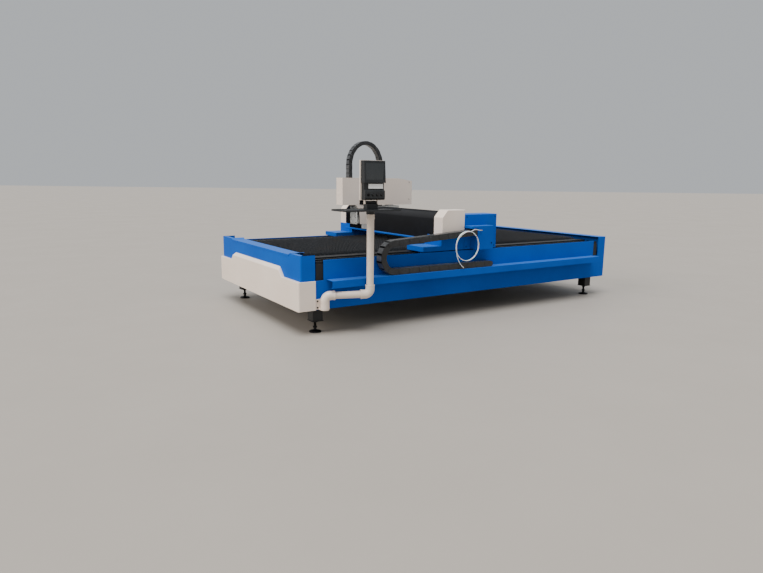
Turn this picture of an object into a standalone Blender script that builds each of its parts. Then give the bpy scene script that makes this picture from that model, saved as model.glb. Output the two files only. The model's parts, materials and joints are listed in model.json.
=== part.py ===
"""Open flat-bed fiber laser cutting machine: bed with slat table, gantry, carriage and console.

Metres, +Z up. X runs along the bed from the covered front end, Y across it with the
console on the -Y side, and the floor is at z = 0. While it is built, x = 0 is the front
face of the blue cover and y = 0 the centre line; centre_on_floor() then moves the whole
machine so that the origin is the bottom centre of its box.
"""
import math

import bmesh
import bpy
from mathutils import Matrix, Vector

GAP = 0.0003            # between pieces that touch
RUN = 0.0001            # radial clearance of a shaft in its bore
SHEET = 0.003           # folded sheet metal

# Bed
LENGTH = 4.80
WIDTH = 2.42
COVER_TOP = 0.84        # blue end covers
PANEL_TOP = 0.785       # side panels
SEAM_HEIGHT = 0.575     # blue over white at the front
SKIRT_BOTTOM = 0.27
COVER_DEPTH = 0.163     # length of the end covers' side returns
RECESS = 0.098          # open strip between an end cover and the side panel
PANEL_THICK = 0.0095
FRAME_BOTTOM = 0.28
FRAME_TOP = 0.745
SIDE_TUBE = 0.22        # width of the long side tubes
TUBE_WALL = 0.008
CROSS_TUBE = 0.12
CROSS_TOP = 0.70

# White lower front cover
APRON_PROUD = 0.035
APRON_SIDE_PROUD = 0.012
HUMP_TOP = 0.675
HUMP_HALF = 0.70
HUMP_SLOPE = 0.10

# Chain shelf on the operator's side
SHELF_STEP = 0.008      # above the panels' seam
SHELF_DEPTH = 0.14
SHELF_LIP = 0.078
SHELF_START = 0.29
SHELF_END = 4.50

# Ways
RAIL_WIDTH = 0.026
RAIL_HEIGHT = 0.030
RAIL_INSET = 0.155      # from the side panel's outside
RACK_WIDTH = 0.024
RACK_INSET = 0.014      # from the side panel's outside
WAY_START = 0.18
PINION_RADIUS = 0.030   # pitch circle
PINION_TEETH = 30
PINION_THICK = 0.024
SHAFT_RADIUS = 0.010

# Slat table
SLAT_PITCH = 0.115
SLAT_THICK = 0.0025
SLAT_CLEARANCE = 0.1152 # from the side tubes to the slats' ends
SLAT_BOTTOM = 0.72
SLAT_VALLEY = 0.785
SLAT_TIP = 0.82
SLAT_TEETH = 11
SLAT_START = 0.21
BAR_THICK = 0.012

# Feet
PAD_RADIUS = 0.065
FOOT_INSET = 0.145      # from the side panel's outside
FOOT_SETBACK = 0.228    # from the front face
BRACKET_BOTTOM = 0.13

# Gantry, with x from the front face of its end covers
GANTRY_X = 1.80
SADDLE_BOTTOM = 0.795
SADDLE_TOP = 0.8995
SADDLE_TONGUE = 0.26
SADDLE_LENGTH = 0.85
SADDLE_WIDTH = 0.33
TONGUE_TOP = 0.85
BLOCK_LENGTH = 0.51
BLOCK_WIDTH = 0.24
BLOCK_TOP = 1.21
END_COVER_WIDTH = 0.155
END_COVER_TOP = 1.266
FLANGE_THICK = 0.0165
BEAM_FRONT = 0.075      # behind the end covers' front face
BEAM_DEPTH = 0.215
BEAM_HEIGHT = 0.283
BELLOWS_FRONT = 0.02
BELLOWS_BACK = 0.335
BELLOWS_TOP = 1.235
BELLOWS_WALL = 0.004
PLEAT_PITCH = 0.050
PLEAT_DEPTH = 0.012
Y_RAIL = 0.025
Y_RAIL_HEIGHTS = (0.9865, 1.1315)

# Carriage
CARRIAGE_NEAR = 0.43    # near face of its cover
CARRIAGE_WIDTH = 0.17
HEAD_FRONT = -0.405     # cover's front face, from GANTRY_X
HEAD_LENGTH = 1.14
HEAD_BOTTOM = 1.26
HEAD_TOP = 1.626
STEM_BOTTOM = 0.905
SEAM_SETBACK = 0.313
HINGE_HEIGHTS = (1.302, 1.566)
LIP = 0.002             # left round the door's opening
Z_PLATE_SETBACK = 0.215
Z_PLATE_WIDTH = 0.154
Z_PLATE_BOTTOM = 0.915
Z_PLATE_TOP = 1.30

# Energy chains
CHAIN_WIDTH = 0.11
CHAIN_THICK = 0.07
LINK = 0.070
NOTCH = 0.005
BEND_RADIUS = 0.155
Y_CHAIN_THICK = 0.035
Y_CHAIN_BEND = 0.0875
ARCH_WIDTH = 0.125
ARCH_THICK = 0.065
ARCH_RADIUS = 0.2475
ARCH_TOP = 2.13

# Console
ARM_SETBACK = 0.242     # pivot behind the front face
ARM_STANDOFF = 0.060    # pivot outside the side panel
ARM_REACH = 0.478
ARM_ANGLE = -17.2
ARM_TUBE = 0.038
SOCKET = 0.048
ARM_HEIGHT = 0.425
POST_TOP = 1.255
PIN = 0.012             # the arm's pivot pin
SPIGOT = 0.020          # under the turning collar
TILT_PIN = 0.006
TRAY_Z = 1.292

FINISHES = {
    "blue": ((0.0, 0.162, 0.521, 1.0), 0.0, 0.42),
    "cream": ((0.61, 0.54, 0.47, 1.0), 0.0, 0.45),
    "black": ((0.022, 0.023, 0.026, 1.0), 0.0, 0.55),
    "slat": ((0.032, 0.034, 0.038, 1.0), 0.6, 0.6),
    "steel": ((0.55, 0.55, 0.56, 1.0), 1.0, 0.35),
    "alloy": ((0.68, 0.68, 0.67, 1.0), 0.9, 0.45),
    "rubber": ((0.012, 0.013, 0.017, 1.0), 0.0, 0.75),
    "chain": ((0.028, 0.029, 0.033, 1.0), 0.0, 0.5),
    "plastic": ((0.035, 0.037, 0.040, 1.0), 0.0, 0.5),
    "hose": ((0.75, 0.80, 0.82, 1.0), 0.0, 0.3),
}

half = WIDTH / 2
tube_outer = half - PANEL_THICK - GAP
shelf_top = SEAM_HEIGHT + SHELF_STEP
rail_offset = half - RAIL_INSET
slat_half = tube_outer - SIDE_TUBE - SLAT_CLEARANCE
arm_pivot = (ARM_SETBACK, -half - ARM_STANDOFF)
gx = GANTRY_X
head_x = GANTRY_X + HEAD_FRONT
carriage_far = CARRIAGE_NEAR + CARRIAGE_WIDTH


# Tools

def running(radius, segments=24):
    """Radius of a faceted bore whose flats clear a faceted shaft's corners by RUN."""
    return (radius + RUN) / math.cos(math.pi / segments)


def clear_scene():
    for obj in list(bpy.data.objects):
        bpy.data.objects.remove(obj, do_unlink=True)


def collection(name):
    found = bpy.data.collections.new(name)
    bpy.context.scene.collection.children.link(found)
    return found


def material(name, finish):
    colour, metallic, roughness = FINISHES[finish]
    made = bpy.data.materials.new(name + "_finish")
    made.use_nodes = True
    made.diffuse_color = colour
    shader = made.node_tree.nodes["Principled BSDF"]
    shader.inputs["Base Color"].default_value = colour
    shader.inputs["Metallic"].default_value = metallic
    shader.inputs["Roughness"].default_value = roughness
    return made


def add(name, mesh, finish=None):
    """Link a mesh as a part, or as a cutter when it has no finish."""
    obj = bpy.data.objects.new(name, mesh)
    if finish is None:
        cutters.objects.link(obj)
        obj.hide_render = True
        obj.display_type = "WIRE"
    else:
        parts.objects.link(obj)
        mesh.materials.append(material(name, finish))
    return obj


def from_bmesh(name, bm, finish=None):
    bmesh.ops.recalc_face_normals(bm, faces=bm.faces)
    mesh = bpy.data.meshes.new(name)
    bm.to_mesh(mesh)
    bm.free()
    return add(name, mesh, finish)


def box(name, x, y, z, finish=None):
    """Box between two x, two y and two z, with its origin at its centre."""
    low = Vector((min(x), min(y), min(z)))
    high = Vector((max(x), max(y), max(z)))
    bm = bmesh.new()
    bmesh.ops.create_cube(bm, size=1.0)
    bmesh.ops.scale(bm, vec=high - low, verts=bm.verts)
    obj = from_bmesh(name, bm, finish)
    obj.location = (low + high) / 2
    return obj


def rod(name, centre, radius, start, end, axis="Z", segments=24, finish=None):
    """Cylinder along an axis; centre holds the two coordinates across it."""
    bm = bmesh.new()
    length = abs(end - start)
    bmesh.ops.create_cone(bm, cap_ends=True, segments=segments,
                          radius1=radius, radius2=radius, depth=length)
    middle = (start + end) / 2
    if axis == "X":
        bmesh.ops.rotate(bm, matrix=Matrix.Rotation(math.pi / 2, 3, "Y"), verts=bm.verts)
        place = (middle, centre[0], centre[1])
    elif axis == "Y":
        bmesh.ops.rotate(bm, matrix=Matrix.Rotation(math.pi / 2, 3, "X"), verts=bm.verts)
        place = (centre[0], middle, centre[1])
    else:
        place = (centre[0], centre[1], middle)
    obj = from_bmesh(name, bm, finish)
    obj.location = place
    return obj


def plane_matrix(axis, level):
    """Matrix that lays a flat outline across an axis: (y, z), (x, z) or (x, y)."""
    if axis == "X":
        turn = Matrix(((0, 0, 1), (1, 0, 0), (0, 1, 0)))
        place = Vector((level, 0, 0))
    elif axis == "Y":
        turn = Matrix(((1, 0, 0), (0, 0, -1), (0, 1, 0)))
        place = Vector((0, level, 0))
    else:
        turn = Matrix.Identity(3)
        place = Vector((0, 0, level))
    return Matrix.Translation(place) @ turn.to_4x4()


def outline(name, points, axis, start, end, finish=None):
    """Flat outline extruded from start to end along an axis."""
    curve = bpy.data.curves.new(name, "CURVE")
    curve.dimensions = "2D"
    curve.fill_mode = "BOTH"
    curve.extrude = abs(end - start) / 2
    spline = curve.splines.new("POLY")
    spline.points.add(len(points) - 1)
    for point, (u, v) in zip(spline.points, points):
        point.co = (u, v, 0.0, 1.0)
    spline.use_cyclic_u = True
    return solid_from_curve(name, curve, plane_matrix(axis, (start + end) / 2), finish)


def pipe(name, points, radius, finish, resolution=6, widths=None):
    """Round tube through points, with a width factor at each of them."""
    curve = bpy.data.curves.new(name, "CURVE")
    curve.dimensions = "3D"
    curve.bevel_depth = radius
    curve.bevel_resolution = resolution
    curve.use_fill_caps = True
    spline = curve.splines.new("POLY")
    spline.points.add(len(points) - 1)
    for index, place in enumerate(points):
        spline.points[index].co = (*place, 1.0)
        spline.points[index].radius = widths[index] if widths else 1.0
    return solid_from_curve(name, curve, Matrix.Identity(4), finish)


def solid_from_curve(name, curve, matrix, finish):
    """Mesh of a curve with its caps welded, in world space."""
    guide = bpy.data.objects.new(name + "_curve", curve)
    bpy.context.scene.collection.objects.link(guide)
    evaluated = guide.evaluated_get(bpy.context.evaluated_depsgraph_get())
    mesh = bpy.data.meshes.new_from_object(evaluated)
    bpy.data.objects.remove(guide, do_unlink=True)
    mesh.transform(matrix)
    mesh.materials.clear()
    bm = bmesh.new()
    bm.from_mesh(mesh)
    bmesh.ops.remove_doubles(bm, verts=bm.verts, dist=0.00001)
    bmesh.ops.dissolve_degenerate(bm, dist=0.00001, edges=bm.edges)
    bmesh.ops.dissolve_limit(bm, angle_limit=math.radians(0.3), verts=bm.verts, edges=bm.edges)
    bpy.data.meshes.remove(mesh)
    return from_bmesh(name, bm, finish)


def boolean(obj, tool, operation):
    modifier = obj.modifiers.new(operation.title(), "BOOLEAN")
    modifier.operation = operation
    modifier.solver = "EXACT"
    modifier.object = tool
    hang(tool, obj)
    return obj


def cut(obj, tool):
    return boolean(obj, tool, "DIFFERENCE")


def join(obj, tool):
    return boolean(obj, tool, "UNION")


def turned(name, profile, place, finish, steps=24, closed=False):
    """Profile of (radius, height), run down its outer side, turned about Z."""
    bm = bmesh.new()
    verts = [bm.verts.new((radius, 0.0, height)) for radius, height in profile]
    for first, second in zip(verts, verts[1:]):
        bm.edges.new((first, second))
    if closed:
        bm.edges.new((verts[-1], verts[0]))
    mesh = bpy.data.meshes.new(name)
    bm.to_mesh(mesh)
    bm.free()
    obj = add(name, mesh, finish)
    obj.location = place
    screw = obj.modifiers.new("Screw", "SCREW")
    screw.steps = steps
    screw.render_steps = steps
    screw.use_merge_vertices = True
    screw.merge_threshold = 0.00001
    return obj


def tube(name, x, y, z, wall, axis, finish):
    """Rectangular tube, open at both ends of its axis."""
    obj = box(name, x, y, z, finish)
    inner = {
        "X": ((x[0] - wall, x[1] + wall), (y[0] + wall, y[1] - wall), (z[0] + wall, z[1] - wall)),
        "Y": ((x[0] + wall, x[1] - wall), (y[0] - wall, y[1] + wall), (z[0] + wall, z[1] - wall)),
    }[axis]
    return cut(obj, box(name + "_bore", *inner))


def sides():
    """Name and sign of the near side (-Y, operator) and the far side."""
    return (("near", -1), ("far", 1))


def span(sign, inner, outer):
    """Pair of y values, in rising order, between two distances from the centre line."""
    return tuple(sorted((sign * inner, sign * outer)))


# Bed

def side_frames():
    front = COVER_DEPTH + 0.012
    for side, sign in sides():
        y = span(sign, tube_outer - SIDE_TUBE, tube_outer)
        beam = tube("bed_side_" + side, (front, LENGTH - front), y, (FRAME_BOTTOM, FRAME_TOP),
                    TUBE_WALL, "X", "black")
        inner = sign * (tube_outer - SIDE_TUBE + 0.015)
        edge = sign * (slat_half + 0.010)
        guard = [
            (inner, FRAME_TOP - 0.001), (inner, PANEL_TOP), (edge, PANEL_TOP),
            (edge, PANEL_TOP - SHEET), (inner - sign * SHEET, PANEL_TOP - SHEET),
            (inner - sign * SHEET, FRAME_TOP - 0.001),
        ]
        join(beam, outline("rail_guard_" + side, guard, "X", front + 0.01, LENGTH - front - 0.01))


def cross_frames():
    inner = tube_outer - SIDE_TUBE - GAP
    start = COVER_DEPTH + 0.012
    places = {
        "bed_cross_front": (start, start + CROSS_TUBE),
        "bed_cross_middle": ((LENGTH - CROSS_TUBE) / 2, (LENGTH + CROSS_TUBE) / 2),
        "bed_cross_rear": (LENGTH - start - CROSS_TUBE, LENGTH - start),
    }
    for name, x in places.items():
        tube(name, x, (-inner, inner), (CROSS_TOP - CROSS_TUBE, CROSS_TOP), TUBE_WALL, "Y", "black")


def side_panels():
    start = COVER_DEPTH + RECESS
    for side, sign in sides():
        y = span(sign, half - PANEL_THICK, half)
        box("side_panel_" + side, (start, LENGTH - start), y, (SEAM_HEIGHT + GAP, PANEL_TOP), "blue")
        box("skirt_panel_" + side, (COVER_DEPTH + GAP, LENGTH - COVER_DEPTH - GAP), y,
            (SKIRT_BOTTOM, SEAM_HEIGHT), "blue")


def chain_shelf():
    inner = -half - GAP
    outer = -half - SHELF_DEPTH
    bottom = shelf_top - SHELF_LIP
    points = [
        (inner, shelf_top), (inner, shelf_top - SHEET),
        (outer + SHEET, shelf_top - SHEET), (outer + SHEET, bottom + SHEET),
        (outer + 0.03, bottom + SHEET), (outer + 0.03, bottom),
        (outer, bottom), (outer, shelf_top),
    ]
    outline("chain_shelf", points, "X", SHELF_START, SHELF_END, "blue")


def front_cover():
    bottom = SEAM_HEIGHT + GAP
    cover = box("front_cover_upper", (0, COVER_DEPTH), (-half, half), (bottom, COVER_TOP), "blue")
    hollow = box("front_cover_hollow", (SHEET, LENGTH), (-half + SHEET, half - SHEET),
                 (0, COVER_TOP - SHEET))
    cut(cover, hollow)


def front_apron():
    """White lower cover, with a raised hump that climbs over the blue cover's face."""
    side = half + APRON_SIDE_PROUD
    apron = box("front_cover_lower", (-APRON_PROUD, COVER_DEPTH), (-side, side),
                (SKIRT_BOTTOM, SEAM_HEIGHT), "cream")
    wedge = [
        (HUMP_HALF + HUMP_SLOPE, SEAM_HEIGHT - SHEET), (HUMP_HALF + HUMP_SLOPE, SEAM_HEIGHT),
        (HUMP_HALF, HUMP_TOP), (-HUMP_HALF, HUMP_TOP),
        (-HUMP_HALF - HUMP_SLOPE, SEAM_HEIGHT), (-HUMP_HALF - HUMP_SLOPE, SEAM_HEIGHT - SHEET),
    ]
    hump = outline("front_cover_hump", wedge, "X", -APRON_PROUD, -GAP)
    slope = [
        (-APRON_PROUD - 0.001, HUMP_TOP - APRON_PROUD - 0.001), (-APRON_PROUD - 0.001, 1.0),
        (0.001, 1.0), (0.001, HUMP_TOP + 0.001),
    ]
    cut(hump, outline("front_cover_chamfer", slope, "Y", -half, half))
    join(apron, hump)
    cut(apron, box("front_cover_lower_hollow", (-APRON_PROUD + SHEET, LENGTH),
                   (-side + SHEET, side - SHEET), (0, SEAM_HEIGHT - SHEET)))


def rear_cover():
    cover = box("rear_cover", (LENGTH - COVER_DEPTH, LENGTH), (-half, half),
                (SKIRT_BOTTOM, COVER_TOP), "blue")
    cut(cover, box("rear_cover_hollow", (0, LENGTH - SHEET), (-half + SHEET, half - SHEET),
                   (0, COVER_TOP - SHEET)))


def ways():
    """Guide rail and rack on each side tube."""
    z = (FRAME_TOP + GAP, FRAME_TOP + RAIL_HEIGHT)
    x = (WAY_START, LENGTH - WAY_START)
    for side, sign in sides():
        box("rail_" + side, x, span(sign, rail_offset - RAIL_WIDTH / 2, rail_offset + RAIL_WIDTH / 2),
            z, "steel")
        outer = half - RACK_INSET
        box("rack_" + side, x, span(sign, outer - RACK_WIDTH, outer), z, "steel")


def slat_table():
    step = 2 * slat_half / SLAT_TEETH
    points = [(-slat_half, SLAT_BOTTOM), (slat_half, SLAT_BOTTOM), (slat_half, SLAT_VALLEY)]
    for tooth in range(SLAT_TEETH):
        right = slat_half - tooth * step
        points += [(right - step / 2, SLAT_TIP), (right - step, SLAT_VALLEY)]
    table = outline("slat_table", points, "X", SLAT_START, SLAT_START + SLAT_THICK, "slat")
    row = table.modifiers.new("Slats", "ARRAY")
    row.use_relative_offset = False
    row.use_constant_offset = True
    row.constant_offset_displace = (SLAT_PITCH, 0, 0)
    row.count = int((LENGTH - 2 * SLAT_START) / SLAT_PITCH) + 1
    for name, y in (("near", -slat_half + 0.03), ("far", slat_half - 0.03)):
        bar = box("slat_bar_" + name, (SLAT_START - 0.02, LENGTH - SLAT_START + 0.02),
                  (y - BAR_THICK / 2, y + BAR_THICK / 2), (CROSS_TOP + GAP, SLAT_BOTTOM + 0.04))
        join(table, bar)


def scrap_tray():
    inner = tube_outer - SIDE_TUBE - GAP
    x = (COVER_DEPTH + 0.05, LENGTH - COVER_DEPTH - 0.05)
    top = CROSS_TOP - CROSS_TUBE - GAP
    tray = box("scrap_tray", x, (-inner, inner), (0.30, top), "black")
    cut(tray, box("scrap_tray_hollow", (x[0] + SHEET, x[1] - SHEET), (-inner + SHEET, inner - SHEET),
                  (0.30 + SHEET, COVER_TOP)))


def legs():
    """Black brackets with threaded levelling feet under the four corners."""
    profile = [
        (0.0, BRACKET_BOTTOM + 0.01), (0.012, BRACKET_BOTTOM + 0.01), (0.012, 0.066), (0.020, 0.066),
        (0.020, 0.046), (0.014, 0.046), (0.018, 0.028), (PAD_RADIUS - 0.008, 0.018),
        (PAD_RADIUS, 0.010), (PAD_RADIUS, 0.0), (0.0, 0.0),
    ]
    for side, sign in sides():
        for end, x in (("front", FOOT_SETBACK), ("rear", LENGTH - FOOT_SETBACK)):
            y = sign * (half - FOOT_INSET)
            leg = turned("leg_{}_{}".format(side, end), profile, (x, y, 0), "black", steps=20)
            bracket = box("bracket_{}_{}".format(side, end), (x - 0.055, x + 0.065),
                          (y - 0.06, y + 0.06), (BRACKET_BOTTOM, FRAME_BOTTOM - GAP))
            join(leg, bracket)


# Energy chains

def chain_outline(path, length, thick, link=LINK):
    """Closed side view of a chain: both edges of its centre line, notched between the links."""
    count = max(1, round(length / link))
    outer = []
    inner = []
    for index in range(count):
        for share, depth in ((0.0, NOTCH), (0.08, 0.0), (0.92, 0.0), (1.0, NOTCH)):
            if share == 1.0 and index < count - 1:
                continue
            place, normal = path((index + share) / count)
            reach = thick / 2 - depth
            outer.append(place + normal * reach)
            inner.append(place - normal * reach)
    return [tuple(point) for point in outer + inner[::-1]]


def bent_path(start, bend, radius, end):
    """Path of a chain that lies flat, turns back over a half circle and runs to its other end."""
    low = start[1]
    top = Vector((bend, low + 2 * radius))
    turn = 1 if start[0] > bend else -1
    flat = abs(start[0] - bend)
    arc = math.pi * radius
    rise = Vector(end) - top
    total = flat + arc + rise.length

    def place(share):
        run = share * total
        if run <= flat:
            return Vector((start[0] - turn * run, low)), Vector((0, -1))
        if run <= flat + arc:
            angle = (run - flat) / radius
            normal = Vector((-turn * math.sin(angle), -math.cos(angle)))
            return Vector((bend, low + radius)) + normal * radius, normal
        along = rise.normalized()
        normal = Vector((-along.y, along.x))
        if normal.y < 0:
            normal = -normal
        return top + along * (run - flat - arc), normal

    return place, total


def chain_bracket():
    """Raised housing on the near block that holds the chain's moving end."""
    left = gx + SADDLE_LENGTH - BLOCK_LENGTH
    points = [
        (left + 0.10, SADDLE_BOTTOM + 0.002), (left + 0.345, SADDLE_BOTTOM + 0.002),
        (left + 0.345, 1.08), (left, 1.08), (left, 1.05), (left + 0.10, 1.05),
    ]
    outline("chain_bracket", points, "Y", -half - 0.13, -half - GAP, "blue")


def x_chain():
    left = gx + SADDLE_LENGTH - BLOCK_LENGTH
    low = shelf_top + GAP + CHAIN_THICK / 2
    top = low + 2 * BEND_RADIUS + 0.076
    path, total = bent_path((2.47, low), 1.08, BEND_RADIUS, (left + 0.098 - GAP, top))
    points = chain_outline(path, total, CHAIN_THICK)
    outer = -half - 0.015 - CHAIN_WIDTH
    outline("x_chain", points, "Y", outer, outer + CHAIN_WIDTH, "chain")


def y_chain_low():
    """Height of the lower run's centre line, on the beam's flange."""
    return SADDLE_TOP + GAP + FLANGE_THICK + GAP + Y_CHAIN_THICK / 2


def y_chain_top():
    """Height of the upper run's top side."""
    return y_chain_low() + 2 * Y_CHAIN_BEND + Y_CHAIN_THICK / 2


def y_chain():
    """Chain behind the beam, from its middle to the carriage's arm."""
    low = y_chain_low()
    radius = Y_CHAIN_BEND
    top = low + 2 * radius
    path, total = bent_path((0.0, low), CARRIAGE_NEAR + 0.30, radius, (CARRIAGE_NEAR + 0.12, top))
    points = chain_outline(path, total, Y_CHAIN_THICK, 0.08)
    outline("y_chain", points, "X", gx + 0.36, gx + 0.44, "chain")


def arch_path():
    """Path of the arched chain: up from the Z slide, over, and down to the carriage's arm."""
    front = head_x + 0.125 + ARCH_THICK / 2
    low_front = Z_PLATE_TOP + GAP
    low_rear = HEAD_BOTTOM - 0.015 + GAP
    centre = Vector((front + ARCH_RADIUS, ARCH_TOP - ARCH_THICK / 2 - ARCH_RADIUS * 1.2))
    rise_front = centre.y - low_front
    rise_rear = centre.y - low_rear
    arc = math.pi * ARCH_RADIUS * 1.1
    total = rise_front + arc + rise_rear

    def place(share):
        run = share * total
        if run <= rise_front:
            return Vector((front, low_front + run)), Vector((-1, 0))
        if run <= rise_front + arc:
            angle = (run - rise_front) / arc * math.pi
            point = Vector((-math.cos(angle) * ARCH_RADIUS, math.sin(angle) * ARCH_RADIUS * 1.2))
            normal = Vector((-math.cos(angle) * 1.2, math.sin(angle))).normalized()
            return centre + point, normal
        return Vector((front + 2 * ARCH_RADIUS, centre.y - (run - rise_front - arc))), Vector((1, 0))

    return place, total


def z_chain():
    path, total = arch_path()
    middle = CARRIAGE_NEAR + CARRIAGE_WIDTH / 2
    outline("z_chain", chain_outline(path, total, ARCH_THICK, 0.06), "Y",
            middle - ARCH_WIDTH / 2, middle + ARCH_WIDTH / 2, "chain")


# Gantry

def saddle(side, sign):
    """Base of a gantry end: tongue and step, two guide blocks under it and the pinion's bore."""
    front = gx - SADDLE_TONGUE
    back = gx + SADDLE_LENGTH
    outer = half - SHEET - 0.0013
    step = [
        (front, SADDLE_BOTTOM), (back, SADDLE_BOTTOM), (back, SADDLE_TOP),
        (gx, SADDLE_TOP), (gx, TONGUE_TOP), (front, TONGUE_TOP),
    ]
    obj = outline("saddle_" + side, step, "Y", *span(sign, half - SADDLE_WIDTH, outer), "blue")
    rail_top = FRAME_TOP + RAIL_HEIGHT
    for place, x in (("front", front + 0.06), ("back", back - 0.23)):
        block = box("guide_{}_{}".format(side, place), (x, x + 0.14),
                    span(sign, rail_offset - 0.035, rail_offset + 0.035),
                    (FRAME_TOP + 0.014, SADDLE_BOTTOM + 0.001))
        join(obj, block)
    cut(obj, box("guide_groove_" + side, (0, LENGTH),
                 span(sign, rail_offset - RAIL_WIDTH / 2 - 0.0005, rail_offset + RAIL_WIDTH / 2 + 0.0005),
                 (0, rail_top + 0.0005)))
    cut(obj, rod("pinion_bore_" + side, pinion_place(sign), running(SHAFT_RADIUS), 0.7, 1.0))
    return obj


def pinion_place(sign):
    rack_face = half - RACK_INSET - RACK_WIDTH
    return (gx + SADDLE_LENGTH - BLOCK_LENGTH / 2, sign * (rack_face - PINION_RADIUS - 0.0025))


def pinion(side, sign):
    """Spur gear that runs along the rack, on the reducer's shaft."""
    tip = PINION_RADIUS + 0.002
    root = PINION_RADIUS - 0.0025
    centre = pinion_place(sign)
    points = []
    for tooth in range(PINION_TEETH):
        for share, radius in ((-0.28, root), (-0.13, tip), (0.13, tip), (0.28, root)):
            angle = 2 * math.pi * (tooth + share) / PINION_TEETH
            points.append((math.cos(angle) * radius, math.sin(angle) * radius))
    low = FRAME_TOP + 0.004
    gear = outline("pinion_" + side, points, "Z", low, low + PINION_THICK, "steel")
    gear.location = (*centre, 0)
    shaft = rod("pinion_shaft_" + side, centre, SHAFT_RADIUS, low + PINION_THICK / 2, SADDLE_TOP)
    join(gear, shaft)
    return gear


def drive(side, sign):
    """Servo motor on its planetary reducer, upright inside the block."""
    x, y = pinion_place(sign)
    low = SADDLE_TOP + GAP
    reducer = box("x_motor_" + side, (x - 0.045, x + 0.045), (y - 0.045, y + 0.045),
                  (low, low + 0.11), "black")
    join(reducer, rod("x_motor_gear_" + side, (x, y), 0.04, low + 0.10, low + 0.16))
    join(reducer, box("x_motor_body_" + side, (x - 0.04, x + 0.04), (y - 0.04, y + 0.04),
                      (low + 0.155, low + 0.27)))
    return reducer


def block(side, sign):
    """Sheet-metal housing over the drive, with its outer wall let down over the saddle."""
    x = (gx + SADDLE_LENGTH - BLOCK_LENGTH, gx + SADDLE_LENGTH)
    low = SADDLE_TOP + GAP
    obj = box("block_" + side, x, span(sign, half - BLOCK_WIDTH, half), (low, BLOCK_TOP), "blue")
    cut(obj, box("block_hollow_" + side, (x[0] + SHEET, x[1] - SHEET),
                 span(sign, half - BLOCK_WIDTH + SHEET, half - SHEET), (0, BLOCK_TOP - SHEET)))
    apron = box("block_wall_" + side, x, span(sign, half - SHEET, half),
                (SADDLE_BOTTOM + 0.002, low + 0.01))
    join(obj, apron)
    return obj


def end_cover(side, sign):
    """White cap over the beam's end, chamfered along its top front edge."""
    low = SADDLE_TOP + GAP
    back = gx + SADDLE_LENGTH - BLOCK_LENGTH - GAP

    def shape(inset, bottom):
        return [
            (gx + inset, bottom), (back - inset, bottom), (back - inset, END_COVER_TOP - inset),
            (gx + 0.075 + inset * 0.5, END_COVER_TOP - inset), (gx + inset, 1.18 - inset * 0.5),
        ]

    obj = outline("end_cover_" + side, shape(0, low), "Y", *span(sign, half - END_COVER_WIDTH, half), "cream")
    hollow = outline("end_cover_hollow_" + side, shape(SHEET, 0.5), "Y",
                     *span(sign, half - END_COVER_WIDTH - 0.01, half - SHEET))
    return cut(obj, hollow)


def beam():
    """Welded box beam with the two cross rails on its front face."""
    low = SADDLE_TOP + GAP + FLANGE_THICK + GAP
    x = (gx + BEAM_FRONT, gx + BEAM_FRONT + BEAM_DEPTH)
    reach = half - 0.02
    obj = tube("beam", x, (-reach, reach), (low, low + BEAM_HEIGHT), TUBE_WALL, "Y", "blue")
    for index, height in enumerate(Y_RAIL_HEIGHTS):
        rail = box("cross_rail_{}".format(index), (x[0] - Y_RAIL, x[0] + 0.001), (-1.04, 1.04),
                   (height - 0.0115, height + 0.0115))
        join(obj, rail)
    return obj


def beam_flange():
    """Plate under the beam: it rests on both saddles and carries the cross chain behind."""
    low = SADDLE_TOP + GAP
    tip = half - 0.02
    cap = half - END_COVER_WIDTH - 0.0005
    wing = half - BLOCK_WIDTH - 0.005
    narrow = gx + SADDLE_LENGTH - BLOCK_LENGTH - 0.01
    half_plan = [
        (gx - 0.01, cap), (gx + 0.006, cap), (gx + 0.006, tip), (narrow, tip),
        (narrow, wing), (gx + 0.47, wing),
    ]
    points = half_plan + [(x, -y) for x, y in reversed(half_plan)]
    return outline("beam_flange", points, "Z", low, low + FLANGE_THICK, "blue")


def bellows(name, start, end):
    """Pleated cover over the beam: its section alternates between ridges and valleys."""
    low = SADDLE_TOP + GAP + FLANGE_THICK + GAP
    front = gx + BELLOWS_FRONT
    back = gx + BELLOWS_BACK - 0.002
    shoulder = BELLOWS_TOP - 0.07

    def section(inset):
        return [
            (front + inset, low), (front + inset, shoulder - inset * 0.4),
            (front + 0.055 + inset * 0.4, BELLOWS_TOP - inset), (back - 0.05, BELLOWS_TOP - inset),
            (back - inset, BELLOWS_TOP - 0.05 - inset * 0.4), (back - inset, low),
        ]

    bm = bmesh.new()
    rings = []
    count = 2 * max(2, round((end - start) / PLEAT_PITCH))
    for index in range(count + 1):
        inset = PLEAT_DEPTH * (index % 2)
        y = start + (end - start) * index / count
        shape = section(inset) + section(inset + BELLOWS_WALL)[::-1]
        rings.append([bm.verts.new((x, y, z)) for x, z in shape])
    for first, second in zip(rings, rings[1:]):
        for index in range(len(first)):
            after = (index + 1) % len(first)
            bm.faces.new((first[index], first[after], second[after], second[index]))
    bm.faces.new(rings[0])
    bm.faces.new(rings[-1][::-1])
    return from_bmesh(name, bm, "rubber")


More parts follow.
